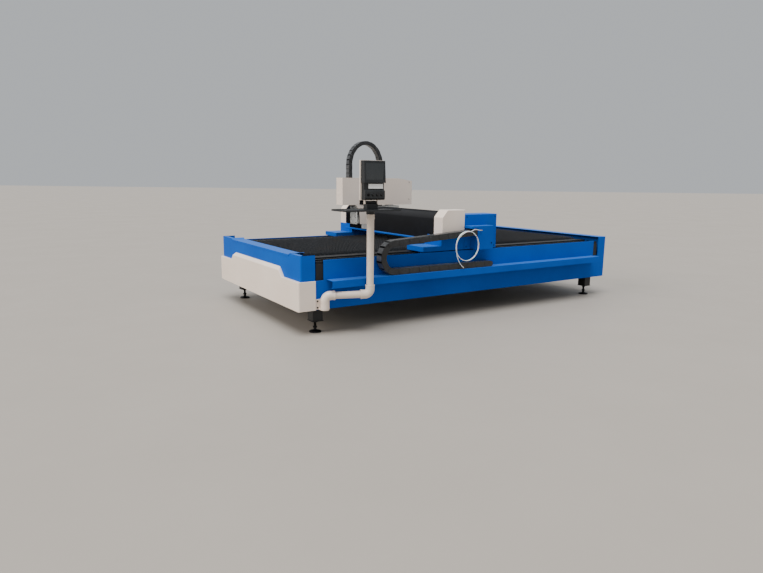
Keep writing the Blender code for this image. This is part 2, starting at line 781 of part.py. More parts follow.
def hose():
    """Coiled air hose hung from the chain bracket, with its lead and its free tail."""
    centre = Vector((gx + 0.27, -half - 0.13 - GAP - 0.008, 0.853))
    radius = 0.172
    ring = [
        (radius + 0.006, 0.006), (radius + 0.006, -0.006), (radius, -0.008),
        (radius - 0.006, -0.006), (radius - 0.006, 0.006), (radius, 0.008),
    ]
    coil = turned("hose_coil", ring, centre, "hose", steps=40, closed=True)
    coil.rotation_euler = (math.radians(90), 0, 0)
    start = Vector((gx + 0.475, -half - 0.13 - GAP, 1.030))
    reach = math.sqrt(radius ** 2 - 0.030 ** 2)
    beside = -0.008 - 0.004 - GAP
    top = centre + Vector((0.030, beside, reach))
    lead = [start, start + Vector((-0.002, -0.010, 0)), start + Vector((-0.03, -0.022, 0.004)),
            start.lerp(top, 0.55) + Vector((0, -0.010, 0.012)), top + Vector((0.05, -0.001, 0.003)), top]
    pipe("hose_lead", smooth(lead, 24), 0.004, "hose", 2)
    foot = centre + Vector((-reach, beside, -0.030))
    tail = [foot, foot + Vector((0.001, -0.001, -0.06)), foot + Vector((0.020, 0.0, -0.13)),
            foot + Vector((0.060, 0.002, -0.19)), foot + Vector((0.115, 0.004, -0.232))]
    pipe("hose_tail", smooth(tail, 24), 0.004, "hose", 2)


def smooth(points, count):
    """Points along a smooth curve through a few chosen ones."""
    padded = [points[0] * 2 - points[1]] + list(points) + [points[-1] * 2 - points[-2]]
    result = []
    spans = len(points) - 1
    for index in range(count + 1):
        run = min(index / count * spans, spans - 1e-6)
        step = int(run)
        t = run - step
        a, b, c, d = padded[step:step + 4]
        result.append(((b * 2) + (c - a) * t + (a * 2 - b * 5 + c * 4 - d) * t * t
                       + (b * 3 - a - c * 3 + d) * t * t * t) / 2)
    return result


# Carriage

def carriage_plate():
    """Bearing plate on the beam's rails, with an arm over the beam for the cross drive."""
    rail_face = gx + BEAM_FRONT - Y_RAIL
    back = rail_face - 0.015
    grip = rail_face + 0.018
    front = back - 0.040
    top = HEAD_BOTTOM - 0.015
    arm = top - 0.030
    end = gx + 0.52
    points = [(front, 0.925), (back, 0.925)]
    for height in Y_RAIL_HEIGHTS:
        points += [
            (back, height - 0.032), (grip, height - 0.032), (grip, height - 0.012),
            (rail_face - 0.0005, height - 0.012), (rail_face - 0.0005, height + 0.012),
            (grip, height + 0.012), (grip, height + 0.032), (back, height + 0.032),
        ]
    points += [(back, arm), (end, arm), (end, top), (front, top)]
    y = (CARRIAGE_NEAR + SHEET + 0.0005, carriage_far - SHEET - 0.0005)
    plate = outline("carriage_plate", points, "Y", *y, "alloy")
    join(plate, box("y_chain_foot", (gx + 0.37, gx + 0.43), (CARRIAGE_NEAR + 0.121, CARRIAGE_NEAR + 0.155),
                    (y_chain_top() + GAP, arm + 0.001)))
    middle = CARRIAGE_NEAR + CARRIAGE_WIDTH / 2
    reducer = box("y_motor", (gx + 0.355, gx + 0.445), (middle - 0.045, middle + 0.045),
                  (top - 0.01, top + 0.11))
    join(plate, reducer)
    join(plate, box("y_motor_body", (gx + 0.36, gx + 0.44), (middle - 0.04, middle + 0.04),
                    (top + 0.10, top + 0.25)))
    return plate


def z_housing():
    """Vertical axis: ball-screw housing on the carriage plate, with its motor on top."""
    rail_face = gx + BEAM_FRONT - Y_RAIL
    back = rail_face - 0.055 - GAP
    front = head_x + 0.295
    middle = CARRIAGE_NEAR + CARRIAGE_WIDTH / 2
    body = box("z_housing", (front, back), (middle - 0.055, middle + 0.055), (0.925, 1.42), "alloy")
    join(body, box("z_motor", (front + 0.012, back - 0.012), (middle - 0.035, middle + 0.035), (1.41, 1.58)))
    for index, offset in enumerate((-0.036, 0.036)):
        rail = box("z_rail_{}".format(index), (front - 0.012, front + 0.001),
                   (middle + offset - 0.0075, middle + offset + 0.0075), (0.94, 1.41))
        join(body, rail)
    return body


def z_plate():
    """Tool plate of the vertical slide, drilled for the cutting head, with its bearing block."""
    front = head_x + Z_PLATE_SETBACK
    back = front + 0.018
    rail = head_x + 0.295 - 0.012
    middle = CARRIAGE_NEAR + CARRIAGE_WIDTH / 2
    wide = Z_PLATE_WIDTH / 2
    plate = box("z_plate", (front, back), (middle - wide, middle + wide),
                (Z_PLATE_BOTTOM, Z_PLATE_TOP), "alloy")
    join(plate, box("z_slider", (back - 0.001, rail - 0.0005), (middle - 0.05, middle + 0.05), (1.02, 1.22)))
    join(plate, box("z_chain_foot", (head_x + 0.115, front + 0.001), (middle - 0.045, middle + 0.045),
                    (Z_PLATE_TOP - 0.016, Z_PLATE_TOP)))
    for row in range(5):
        for column in (-0.045, 0.0, 0.045):
            hole = rod("z_hole_{}_{:.0f}".format(row, column * 1000), (middle + column, 0.945 + row * 0.055),
                       0.0055, front - 0.01, back + 0.0105, "X", 6)
            cut(plate, hole)
    return plate


def head_outline(inset):
    """Side view of the carriage cover, with its stem running down beside the vertical slide."""
    front = head_x + inset
    back = head_x + HEAD_LENGTH - inset
    top = HEAD_TOP - inset
    stem = head_x + 0.285 + inset
    heel = head_x + 0.420 - inset
    points = [(front, HEAD_BOTTOM), (front, top), (back - 0.235, top), (back, top - 0.034),
              (back, HEAD_BOTTOM)]
    corner = Vector((heel + 0.10, HEAD_BOTTOM - 0.1005))
    for step in range(6):
        angle = math.radians(90 + step * 18)
        points.append((corner.x + math.cos(angle) * 0.10, corner.y + math.sin(angle) * 0.10))
    points += [(heel, STEM_BOTTOM + 0.02), (gx - 0.012, STEM_BOTTOM + 0.02), (gx - 0.012, STEM_BOTTOM),
               (stem, STEM_BOTTOM), (stem - 0.02, 1.175),
               (stem - 0.075, HEAD_BOTTOM - 0.0005)]
    return points


def carriage_cover():
    """Sheet-metal cover of the carriage: hatchet-shaped sides, open below, slotted for the chain."""
    y = (CARRIAGE_NEAR, carriage_far)
    cover = outline("carriage_cover", head_outline(0), "Y", *y, "cream")
    inner = (CARRIAGE_NEAR + SHEET, carriage_far - SHEET)
    back = head_x + HEAD_LENGTH - SHEET
    room = [
        (head_x + SHEET, 0.5), (head_x + SHEET, HEAD_TOP - SHEET), (back - 0.235, HEAD_TOP - SHEET),
        (back, HEAD_TOP - SHEET - 0.034), (back, 0.5),
    ]
    cut(cover, outline("carriage_room", room, "Y", *inner))
    seam = head_x + SEAM_SETBACK
    low = HEAD_BOTTOM + 0.0015
    high = HEAD_TOP - SHEET - LIP
    opening = [
        (head_x - 0.01, HEAD_BOTTOM - 0.01), (head_x + 0.203, HEAD_BOTTOM - 0.01),
        (head_x + 0.203, low), (seam, low), (seam, high), (head_x - 0.01, high),
    ]
    cut(cover, outline("door_opening", opening, "Y", CARRIAGE_NEAR - 0.01, carriage_far - SHEET - LIP))
    middle = CARRIAGE_NEAR + CARRIAGE_WIDTH / 2
    for name, x in (("front", head_x + 0.125), ("rear", head_x + 0.125 + 2 * ARCH_RADIUS)):
        slot = box("chain_slot_" + name, (x - 0.008, x + ARCH_THICK + 0.008),
                   (middle - ARCH_WIDTH / 2 - 0.006, middle + ARCH_WIDTH / 2 + 0.006),
                   (HEAD_TOP - 0.02, HEAD_TOP + 0.02))
        cut(cover, slot)
    for name, height in (("hinge_lower", HINGE_HEIGHTS[0]), ("hinge_upper", HINGE_HEIGHTS[1])):
        hinge(cover, name, height)
    return cover


def door_axis():
    return (head_x + SEAM_SETBACK - 0.0005, CARRIAGE_NEAR - 0.005)


def carriage_door():
    """Door round the cover's near front corner, with its two hinge leaves."""
    edge = head_x + SEAM_SETBACK - 0.0015
    near = CARRIAGE_NEAR
    far = carriage_far - SHEET - LIP - 0.0008
    plan = [
        (head_x, near), (edge, near), (edge, near + SHEET),
        (head_x + SHEET, near + SHEET), (head_x + SHEET, far), (head_x, far),
    ]
    door = outline("carriage_door", plan, "Z", HEAD_BOTTOM + 0.0022, HEAD_TOP - SHEET - LIP - 0.0008, "cream")
    for index, height in enumerate(HINGE_HEIGHTS):
        leaf = box("door_leaf_{}".format(index), (edge - 0.045, edge - 0.0045),
                   (near - 0.0035, near + 0.001), (height - 0.033, height + 0.033))
        join(door, leaf)
    return door


def hinge(cover, name, height):
    """Surface hinge on the cover: fixed leaf behind the seam and the knuckle on the axis."""
    x, y = door_axis()
    join(cover, box(name, (x + 0.001, x + 0.047), (CARRIAGE_NEAR - 0.0035, CARRIAGE_NEAR + 0.001),
                    (height - 0.033, height + 0.033)))
    join(cover, rod(name + "_knuckle", (x, y), 0.0038, height - 0.035, height + 0.035, "Z", 12))


# Console

def post_place():
    angle = math.radians(ARM_ANGLE)
    return (arm_pivot[0] + ARM_REACH * math.cos(angle), arm_pivot[1] + ARM_REACH * math.sin(angle))


def arm_base():
    """Wall plate with a round step and a pin, on which the arm turns."""
    x, y = arm_pivot
    plate = box("arm_base", (x - 0.072, x + 0.052), (-half - 0.006, -half - GAP), (0.275, 0.385), "cream")
    join(plate, box("arm_lug", (x - 0.045, x + 0.045), (y, -half - 0.005), (0.275, 0.287)))
    join(plate, rod("arm_lug_end", (x, y), 0.045, 0.275, 0.287))
    join(plate, rod("arm_pin", (x, y), PIN, 0.28, 0.35))
    for index, height in enumerate((0.296, 0.364)):
        join(plate, rod("arm_bolt_{}".format(index), (x - 0.058, height), 0.009, -half - 0.012, -half - 0.005,
                        "Y", 6))
    return plate


def arm():
    """Swing arm: stub, elbow, level tube, elbow and post, with wider pipe sockets."""
    x0, y0 = arm_pivot
    x1, y1 = post_place()
    along = Vector((x1 - x0, y1 - y0, 0)).normalized()
    bend = 0.055
    low = Vector((x0, y0, 0.2875))
    first = Vector((x0, y0, ARM_HEIGHT))
    last = Vector((x1, y1, ARM_HEIGHT))
    wide = SOCKET / ARM_TUBE
    points = [low]
    widths = [wide]

    def elbow(corner, into, out):
        for step in range(7):
            angle = math.radians(15 * step)
            centre = corner - into * bend + out * bend
            points.append(centre + into * bend * math.sin(angle) - out * bend * math.cos(angle))
            widths.append(wide)

    up = Vector((0, 0, 1))
    elbow(first, up, along)
    points.extend([first + along * 0.105, first + along * 0.106])
    widths.extend([wide, 1.0])
    points.extend([last - along * 0.106, last - along * 0.105])
    widths.extend([1.0, wide])
    elbow(last, along, up)
    points.extend([last + up * 0.100, last + up * 0.101])
    widths.extend([wide, 1.0])
    points.append(Vector((x1, y1, POST_TOP)))
    widths.append(1.0)
    obj = pipe("arm", points, ARM_TUBE, "cream", 6, widths)
    cut(obj, rod("arm_pin_bore", arm_pivot, running(PIN), 0.2, 0.352))
    cut(obj, rod("post_bore", post_place(), running(SPIGOT), POST_TOP - 0.06, POST_TOP + 0.1))
    return obj


def console_tray():
    """Turning collar with the keyboard tray and the neck on it."""
    x, y = post_place()
    tray = box("console_tray", (x - 0.40, x + 0.25), (y - 0.19, y + 0.10), (TRAY_Z, TRAY_Z + 0.012),
               "plastic")
    join(tray, rod("collar", (x, y), 0.045, POST_TOP + GAP, TRAY_Z + 0.001))
    join(tray, rod("collar_spigot", (x, y), SPIGOT, POST_TOP - 0.05, POST_TOP + 0.01))
    join(tray, box("neck", (x - 0.065, x + 0.065), (y - 0.035, y + 0.035), (TRAY_Z + 0.011, 1.362)))
    barrel = rod("neck_barrel", tilt_axis(), 0.016, x - 0.065, x + 0.065, "X", 20)
    join(tray, barrel)
    cut(tray, rod("neck_bore", tilt_axis(), running(TILT_PIN), x - 0.2, x + 0.2, "X"))
    return tray


def tilt_axis():
    """The tilting head's axis, as (y, z)."""
    return (post_place()[1], 1.375)


def head_back():
    """Light back plate of the console head, with the lugs and pin that it tilts on."""
    x, y = post_place()
    front = y - 0.012
    plate = box("console_back", (x - 0.135, x + 0.145), (front, front + 0.012), (1.398, 1.795), "cream")
    for name, side in (("left", -1), ("right", 1)):
        inner = x + side * 0.0656
        outer = x + side * 0.0756
        lug = box("tilt_lug_" + name, tuple(sorted((inner, outer))), (front, y + 0.016), (1.359, 1.401))
        join(plate, lug)
    join(plate, rod("tilt_pin", tilt_axis(), TILT_PIN, x - 0.07, x + 0.07, "X"))
    return plate


def monitor():
    x, y = post_place()
    back = y - 0.012 - GAP
    side = [(back, 1.572), (back - 0.075, 1.572), (back - 0.060, 1.790), (back, 1.790)]
    obj = outline("monitor", side, "X", x - 0.125, x + 0.125, "plastic")
    front = back - 0.0672
    screen = box("screen_recess", (x - 0.107, x + 0.107), (front - 0.02, front + 0.006), (1.600, 1.766))
    cut(obj, screen)
    return obj


def button_box():
    """Control box under the screen, with a raised blank plate above its row of buttons."""
    x, y = post_place()
    back = y - 0.012 - GAP
    side = [(back, 1.402), (back - 0.060, 1.402), (back - 0.072, 1.418), (back - 0.072, 1.490),
            (back - 0.050, 1.505), (back - 0.050, 1.5715), (back, 1.5715)]
    obj = outline("control_box", side, "X", x - 0.118, x + 0.118, "plastic")
    join(obj, box("blank_plate", (x - 0.072, x + 0.108), (back - 0.053, back - 0.04), (1.512, 1.564)))
    for index, place in enumerate(button_places()):
        cut(obj, rod("button_bore_{}".format(index), place, 0.0115, back - 0.1, back - 0.052, "Y", 16))
    return obj


def button_places():
    x = post_place()[0]
    return [(x - 0.078 + step * 0.052, 1.455) for step in range(4)]


def button(index):
    back = post_place()[1] - 0.012 - GAP
    start = back - 0.083
    return rod("button_{}".format(index + 1), button_places()[index], 0.011, start, back - 0.058, "Y", 16,
               "plastic")


# Assembly

def empty(name, place, parent=None):
    obj = bpy.data.objects.new(name, None)
    obj.empty_display_size = 0.1
    parts.objects.link(obj)
    obj.location = place
    if parent:
        hang(obj, parent)
    return obj


def world_place(obj):
    place = Vector(obj.location)
    if obj.parent:
        place += world_place(obj.parent)
    return place


def hang(obj, parent):
    """Parent an object and keep it where it stands."""
    obj.location = Vector(obj.location) - world_place(parent)
    obj.parent = parent


def build_gantry(carrier):
    for side, sign in sides():
        for obj in (saddle(side, sign), drive(side, sign), block(side, sign), end_cover(side, sign)):
            hang(obj, carrier)
        axis = empty("pinion_axis_" + side, (*pinion_place(sign), FRAME_TOP), carrier)
        hang(pinion(side, sign), axis)
    hang(beam(), carrier)
    hang(beam_flange(), carrier)
    near_end = -half + END_COVER_WIDTH + 0.0005
    bellows("bellows_near", near_end, CARRIAGE_NEAR - 0.001)
    bellows("bellows_far", carriage_far + 0.001, -near_end)
    chain_bracket()
    x_chain()
    y_chain()
    hose()
    names = ("bellows_near", "bellows_far", "chain_bracket", "x_chain", "y_chain",
             "hose_coil", "hose_lead", "hose_tail")
    for name in names:
        hang(bpy.data.objects[name], carrier)


def build_carriage(carrier):
    hang(carriage_plate(), carrier)
    hang(carriage_cover(), carrier)
    hang(z_housing(), carrier)
    door_pin = empty("door_pin", (*door_axis(), HEAD_BOTTOM), carrier)
    hang(carriage_door(), door_pin)
    slide = empty("z_slide_origin", (head_x + Z_PLATE_SETBACK, CARRIAGE_NEAR, Z_PLATE_BOTTOM), carrier)
    hang(z_plate(), slide)
    z_chain()
    hang(bpy.data.objects["z_chain"], carrier)


def build_console(root):
    hang(arm_base(), root)
    pivot = empty("arm_pivot", (*arm_pivot, 0.2875), root)
    hang(arm(), pivot)
    swivel = empty("console_swivel_origin", (*post_place(), POST_TOP), pivot)
    hang(console_tray(), swivel)
    tilt = empty("tilt_origin", (post_place()[0], *tilt_axis()), swivel)
    for obj in (head_back(), monitor(), button_box()):
        hang(obj, tilt)
    for index in range(4):
        hang(button(index), tilt)


def centre_on_floor(root):
    """Move the machine so that the origin is the bottom centre of its box."""
    bpy.context.view_layer.update()
    graph = bpy.context.evaluated_depsgraph_get()
    corners = []
    for obj in parts.objects:
        if obj.type == "MESH":
            seen = obj.evaluated_get(graph)
            corners += [seen.matrix_world @ Vector(corner) for corner in seen.bound_box]
    low = Vector([min(corner[axis] for corner in corners) for axis in range(3)])
    high = Vector([max(corner[axis] for corner in corners) for axis in range(3)])
    root.location = (-(low.x + high.x) / 2, -(low.y + high.y) / 2, -low.z)


def build():
    root = empty("fiber_laser_cutter", (0, 0, 0))
    side_frames()
    cross_frames()
    side_panels()
    chain_shelf()
    front_cover()
    front_apron()
    rear_cover()
    ways()
    slat_table()
    scrap_tray()
    legs()
    for obj in [item for item in parts.objects if item.type == "MESH"]:
        hang(obj, root)
    carrier = empty("gantry", (gx, 0, SADDLE_BOTTOM), root)
    build_gantry(carrier)
    carriage = empty("carriage", (gx, CARRIAGE_NEAR, SADDLE_TOP), carrier)
    build_carriage(carriage)
    build_console(root)
    centre_on_floor(root)


clear_scene()
parts = collection("fiber_laser_cutter")
cutters = collection("cutters")
build()
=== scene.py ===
import json
import math
import random

import bmesh
import bpy
from mathutils import Matrix, Vector


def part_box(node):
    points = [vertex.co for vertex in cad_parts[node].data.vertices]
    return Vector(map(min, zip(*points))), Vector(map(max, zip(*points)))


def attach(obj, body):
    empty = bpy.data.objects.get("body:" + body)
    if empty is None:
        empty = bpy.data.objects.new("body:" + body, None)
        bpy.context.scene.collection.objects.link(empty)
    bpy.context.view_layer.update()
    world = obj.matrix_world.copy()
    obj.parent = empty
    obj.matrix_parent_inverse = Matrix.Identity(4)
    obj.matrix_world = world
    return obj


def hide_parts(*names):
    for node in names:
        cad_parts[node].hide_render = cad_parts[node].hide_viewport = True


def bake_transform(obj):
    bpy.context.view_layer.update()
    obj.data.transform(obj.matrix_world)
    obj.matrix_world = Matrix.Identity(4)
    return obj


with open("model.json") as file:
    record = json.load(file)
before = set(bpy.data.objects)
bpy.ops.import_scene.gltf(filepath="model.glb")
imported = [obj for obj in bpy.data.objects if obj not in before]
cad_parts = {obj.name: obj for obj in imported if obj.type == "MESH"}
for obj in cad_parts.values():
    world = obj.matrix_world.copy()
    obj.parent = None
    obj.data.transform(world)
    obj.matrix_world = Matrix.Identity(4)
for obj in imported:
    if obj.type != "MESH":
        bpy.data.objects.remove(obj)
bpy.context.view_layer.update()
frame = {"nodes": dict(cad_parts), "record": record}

# Open flat-bed fiber laser cutting machine. Places are written in metres in the machine's own
# frame: x = 0 is the front face of the blue cover, y = 0 the centre line, z = 0 the floor, and
# the console stands on the -Y side, called near. HOME is where that frame's origin lies in the
# row's frame.

low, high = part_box("front_cover_upper")
HOME = Vector((low.x, (low.y + high.y) / 2, 0.0))
BODIES = frame["record"]["behaviour"]["bodies"]
BODY_OF = {node: body for body, nodes in BODIES.items() for node in nodes}

# Bed: half its width and its length over the covers, and the front cover's top and seam
HALF = 1.21
LENGTH = 4.80
COVER_TOP = 0.84
COVER_SEAM = 0.5753

# Thickness of the sheet metal, and the gap left between pieces that would touch
SHEET = 0.003
GAP = 0.0003

# Gantry: the front of its end covers, its back, the front and the lower edge of its drive
# housings, and the top of the blue risers that the end covers stand on
GANTRY = 1.80
BACK = GANTRY + 0.85
BLOCK_FRONT = BACK - 0.51
BLOCK_LOW = 0.8998
RISER_TOP = 0.9710

# Outer face of the chain bracket, which the hose hangs on, and the radius of the hose's coil
BRACKET_FACE = -HALF - 0.13
COIL = 0.172

# Carriage: the cover's front, its two sides and their middle, the door's seam, and the lower
# end of the stem
CARRIAGE = 1.395
NEAR = 0.43
FAR = 0.60
MIDDLE = (NEAR + FAR) / 2
SEAM = CARRIAGE + 0.313
STEM_LOW = 1.000

# Console: how far from the front its arm is mounted, and the post at the arm's end
ARM_X = 0.242
POST = Vector((0.69862, -1.41135, 0.0))


def at(x, y, z):
    """Point of the machine's frame, in the row's frame."""
    return HOME + Vector((x, y, z))


# Camera

def camera():
    """Camera off the near front corner, 1.6 m over the floor, looking about 10 degrees down.

    Its directions and its lens fit the horizon and the vanishing points of the bed."""
    eye = at(-2.50, -6.57, 1.60)
    data = bpy.data.cameras.new("camera")
    data.sensor_fit = "HORIZONTAL"
    data.sensor_width = 36.0
    data.lens = 27.83
    data.clip_end = 100.0
    obj = bpy.data.objects.new("camera", data)
    bpy.context.scene.collection.objects.link(obj)
    right = Vector((0.84035, -0.54193, 0.01109))
    down = Vector((-0.08707, -0.15516, -0.98405))
    forward = Vector((0.53500, 0.82598, -0.17757))
    turn = Matrix((right, -down, -forward)).transposed().to_4x4()
    obj.matrix_world = Matrix.Translation(eye) @ turn
    bpy.context.scene.camera = obj


# Materials

def linear(code):
    """sRGB hex colour as linear RGBA."""
    values = [int(code[index:index + 2], 16) / 255 for index in (1, 3, 5)]
    return tuple(v / 12.92 if v <= 0.04045 else ((v + 0.055) / 1.055) ** 2.4 for v in values) + (1.0,)


def node(tree, kind, links=None, out=0, **settings):
    """Add a node with its settings, link or set its inputs, and give back one of its outputs.

    Inputs go by name or by number: on a Map Range node 0 is the value, 1 and 2 what it runs
    from and 3 and 4 what it runs to, and on a Mix node 0 is the share and 6 and 7 the colours."""
    made = tree.nodes.new("ShaderNode" + kind)
    for key, value in settings.items():
        setattr(made, key, value)
    for key, value in (links or {}).items():
        if isinstance(value, bpy.types.NodeSocket):
            tree.links.new(value, made.inputs[key])
        else:
            made.inputs[key].default_value = value
    return made.outputs[out]


def blank(name, metallic=0.0, ior=None, sheen=0.0, coat=0.0, gleam=0.5):
    """New material with its shader and the object's own coordinates."""
    made = bpy.data.materials.new(name)
    made.use_nodes = True
    tree = made.node_tree
    shader = tree.nodes["Principled BSDF"]
    shader.inputs["Metallic"].default_value = metallic
    if ior:
        shader.inputs["IOR"].default_value = ior
    shader.inputs["Sheen Weight"].default_value = sheen
    shader.inputs["Coat Weight"].default_value = coat
    shader.inputs["Coat Roughness"].default_value = 0.12
    shader.inputs["Specular IOR Level"].default_value = gleam
    return made, tree, shader, node(tree, "TexCoord", out="Object")


def finished(tree, shader, colour, rough, *layers):
    """Link colour, roughness and a chain of bump layers, each (height, depth in metres, strength)."""
    tree.links.new(colour, shader.inputs["Base Color"])
    tree.links.new(rough, shader.inputs["Roughness"])
    normal = None
    for height, depth, strength in layers:
        links = {"Height": height, "Distance": depth, "Strength": strength}
        if normal:
            links["Normal"] = normal
        normal = node(tree, "Bump", links)
    tree.links.new(normal, shader.inputs["Normal"])


def sprayed(name, colour, deep, dust_and_painted_light, gloss=(0.26, 0.40), gleam=0.5, top_highlight_share=0.30):
    """Sprayed two-pack enamel on folded sheet: a gloss coat over a slightly uneven tone,
    2 mm orange peel, a wave in the sheet every 30 cm and a painted highlight, in patches, on what faces up."""
    made, tree, shader, place = blank(name, ior=1.5, gleam=gleam)
    cloud = node(tree, "TexNoise", {"Vector": place, "Scale": 1.7, "Detail": 4.0, "Roughness": 0.6})
    fine = node(tree, "TexNoise", {"Vector": place, "Scale": 55.0, "Detail": 5.0, "Roughness": 0.7})
    peel = node(tree, "TexNoise", {"Vector": place, "Scale": 420.0, "Detail": 2.0, "Roughness": 0.5})
    wave = node(tree, "TexNoise", {"Vector": place, "Scale": 3.2, "Detail": 1.0, "Roughness": 0.4})
    share = node(tree, "MapRange", {0: cloud, 1: 0.32, 2: 0.70, 3: 0.0, 4: 1.0})
    tone = node(tree, "Mix", {0: share, 6: linear(colour), 7: linear(deep)}, 2, data_type="RGBA")
    # Painted highlight: faces that look up are mixed, in patches, toward the paler third colour, which
    # stands in for the sky's light on the tops.
    upward = node(tree, "SeparateXYZ", {0: node(tree, "NewGeometry", out="Normal")}, 2)
    settled = node(tree, "MapRange", {0: upward, 1: 0.55, 2: 1.0, 3: 0.0, 4: top_highlight_share})
    patchy = node(tree, "MapRange", {0: fine, 1: 0.30, 2: 0.70, 3: 0.55, 4: 1.0})
    painted_top_light = node(tree, "Math", {0: settled, 1: patchy}, operation="MULTIPLY")
    tone_with_painted_top_light = node(tree, "Mix", {0: painted_top_light, 6: tone, 7: linear(dust_and_painted_light)}, 2, data_type="RGBA")
    rough = node(tree, "MapRange", {0: fine, 1: 0.3, 2: 0.7, 3: gloss[0], 4: gloss[1]})
    finished(tree, shader, tone_with_painted_top_light, rough, (wave, 0.004, 0.35), (peel, 0.0004, 0.18))
    return made


def textured_powder(name, colour, worn, rough=(0.42, 0.60)):
    """Fine-textured powder coat: a 1.5 mm leather-like grain that breaks the shine, with
    paler rubs where hands and cables pass."""
    made, tree, shader, place = blank(name, ior=1.48)
    rub = node(tree, "TexNoise", {"Vector": place, "Scale": 9.0, "Detail": 6.0, "Roughness": 0.72})
    pores = node(tree, "TexVoronoi", {"Vector": place, "Scale": 650.0}, "Distance")
    share = node(tree, "MapRange", {0: rub, 1: 0.50, 2: 0.78, 3: 0.0, 4: 0.75})
    tone = node(tree, "Mix", {0: share, 6: linear(colour), 7: linear(worn)}, 2, data_type="RGBA")
    shine = node(tree, "MapRange", {0: rub, 1: 0.3, 2: 0.7, 3: rough[0], 4: rough[1]})
    finished(tree, shader, tone, shine, (pores, 0.0004, 0.30))
    return made


def hot_rolled(name):
    """Hot-rolled slat steel: blue-black mill scale, brown oxide in patches, and a grey cut edge
    with spatter on the tips, over the top 25 mm."""
    made, tree, shader, place = blank(name, metallic=0.55)
    patch = node(tree, "TexNoise", {"Vector": place, "Scale": 5.0, "Detail": 6.0, "Roughness": 0.65})
    fleck = node(tree, "TexNoise", {"Vector": place, "Scale": 60.0, "Detail": 4.0, "Roughness": 0.7})
    share = node(tree, "MapRange", {0: fleck, 1: 0.35, 2: 0.65, 3: 0.0, 4: 1.0})
    scale = node(tree, "Mix", {0: share, 6: linear("#22262B"), 7: linear("#363A40")}, 2, data_type="RGBA")
    rusty = node(tree, "MapRange", {0: patch, 1: 0.54, 2: 0.70, 3: 0.0, 4: 0.55})
    oxide = node(tree, "Mix", {0: rusty, 6: scale, 7: linear("#4E4038")}, 2, data_type="RGBA")
    height = node(tree, "SeparateXYZ", {0: place}, 2)
    edge = node(tree, "MapRange", {0: height, 1: 0.797, 2: 0.822, 3: 0.0, 4: 0.8})
    tone = node(tree, "Mix", {0: edge, 6: oxide, 7: linear("#5C5D5F")}, 2, data_type="RGBA")
    rough = node(tree, "MapRange", {0: fleck, 1: 0.3, 2: 0.7, 3: 0.40, 4: 0.66})
    finished(tree, shader, tone, rough, (fleck, 0.0015, 0.45), (patch, 0.003, 0.2))
    return made


def ground_steel(name, colour="#A9ABAE", dark="#7E8084", along=(3.0, 260.0, 260.0), rough=(0.22, 0.38)):
    """Ground and oiled steel: lines 4 mm apart along the grinding direction, drawn that coarse
    so that they show, and thin oil stains."""
    made, tree, shader, place = blank(name, metallic=1.0)
    drawn = node(tree, "Mapping", {"Vector": place, "Scale": along})
    line = node(tree, "TexNoise", {"Vector": drawn, "Scale": 1.0, "Detail": 3.0, "Roughness": 0.6})
    stain = node(tree, "TexNoise", {"Vector": place, "Scale": 11.0, "Detail": 4.0, "Roughness": 0.6})
    share = node(tree, "MapRange", {0: stain, 1: 0.45, 2: 0.75, 3: 0.0, 4: 0.8})
    tone = node(tree, "Mix", {0: share, 6: linear(colour), 7: linear(dark)}, 2, data_type="RGBA")
    shine = node(tree, "MapRange", {0: line, 1: 0.3, 2: 0.7, 3: rough[0], 4: rough[1]})
    finished(tree, shader, tone, shine, (line, 0.0003, 0.25))
    return made


def milled_alloy(name):
    """Milled aluminium tooling plate: cutter marks 4.5 mm apart and a soft grey sheen."""
    made, tree, shader, place = blank(name, metallic=1.0)
    marks = {"Vector": place, "Scale": 70.0, "Distortion": 1.2, "Detail": 2.0}
    wave = node(tree, "TexWave", marks, 1, wave_type="BANDS", bands_direction="Z")
    cloud = node(tree, "TexNoise", {"Vector": place, "Scale": 14.0, "Detail": 4.0, "Roughness": 0.6})
    tone = node(tree, "Mix", {0: cloud, 6: linear("#E2E1DC"), 7: linear("#C2C2BE")}, 2, data_type="RGBA")
    rough = node(tree, "MapRange", {0: wave, 1: 0.0, 2: 1.0, 3: 0.40, 4: 0.54})
    finished(tree, shader, tone, rough, (wave, 0.0003, 0.3))
    return made


def coated_cloth(name):
    """Polyester cloth coated with black polyurethane, for the bellows: a 1.2 mm plain weave
    drawn at 5 mm so that it shows, dusty in patches."""
    made, tree, shader, place = blank(name, ior=1.45, sheen=0.03, gleam=0.35)
    thread = {"Vector": place, "Scale": 60.0, "Distortion": 0.4}
    warp = node(tree, "TexWave", thread, 1, wave_type="BANDS", bands_direction="Z")
    weft = node(tree, "TexWave", thread, 1, wave_type="BANDS", bands_direction="Y")
    weave = node(tree, "Math", {0: warp, 1: weft}, operation="MULTIPLY")
    dust_and_painted_light = node(tree, "TexNoise", {"Vector": place, "Scale": 7.0, "Detail": 6.0, "Roughness": 0.7})
    share = node(tree, "MapRange", {0: dust_and_painted_light, 1: 0.45, 2: 0.8, 3: 0.0, 4: 0.8})
    tone = node(tree, "Mix", {0: share, 6: linear("#05070D"), 7: linear("#10131A")}, 2, data_type="RGBA")
    rough = node(tree, "MapRange", {0: weave, 1: 0.0, 2: 1.0, 3: 0.48, 4: 0.66})
    finished(tree, shader, tone, rough, (weave, 0.0006, 0.35))
    return made


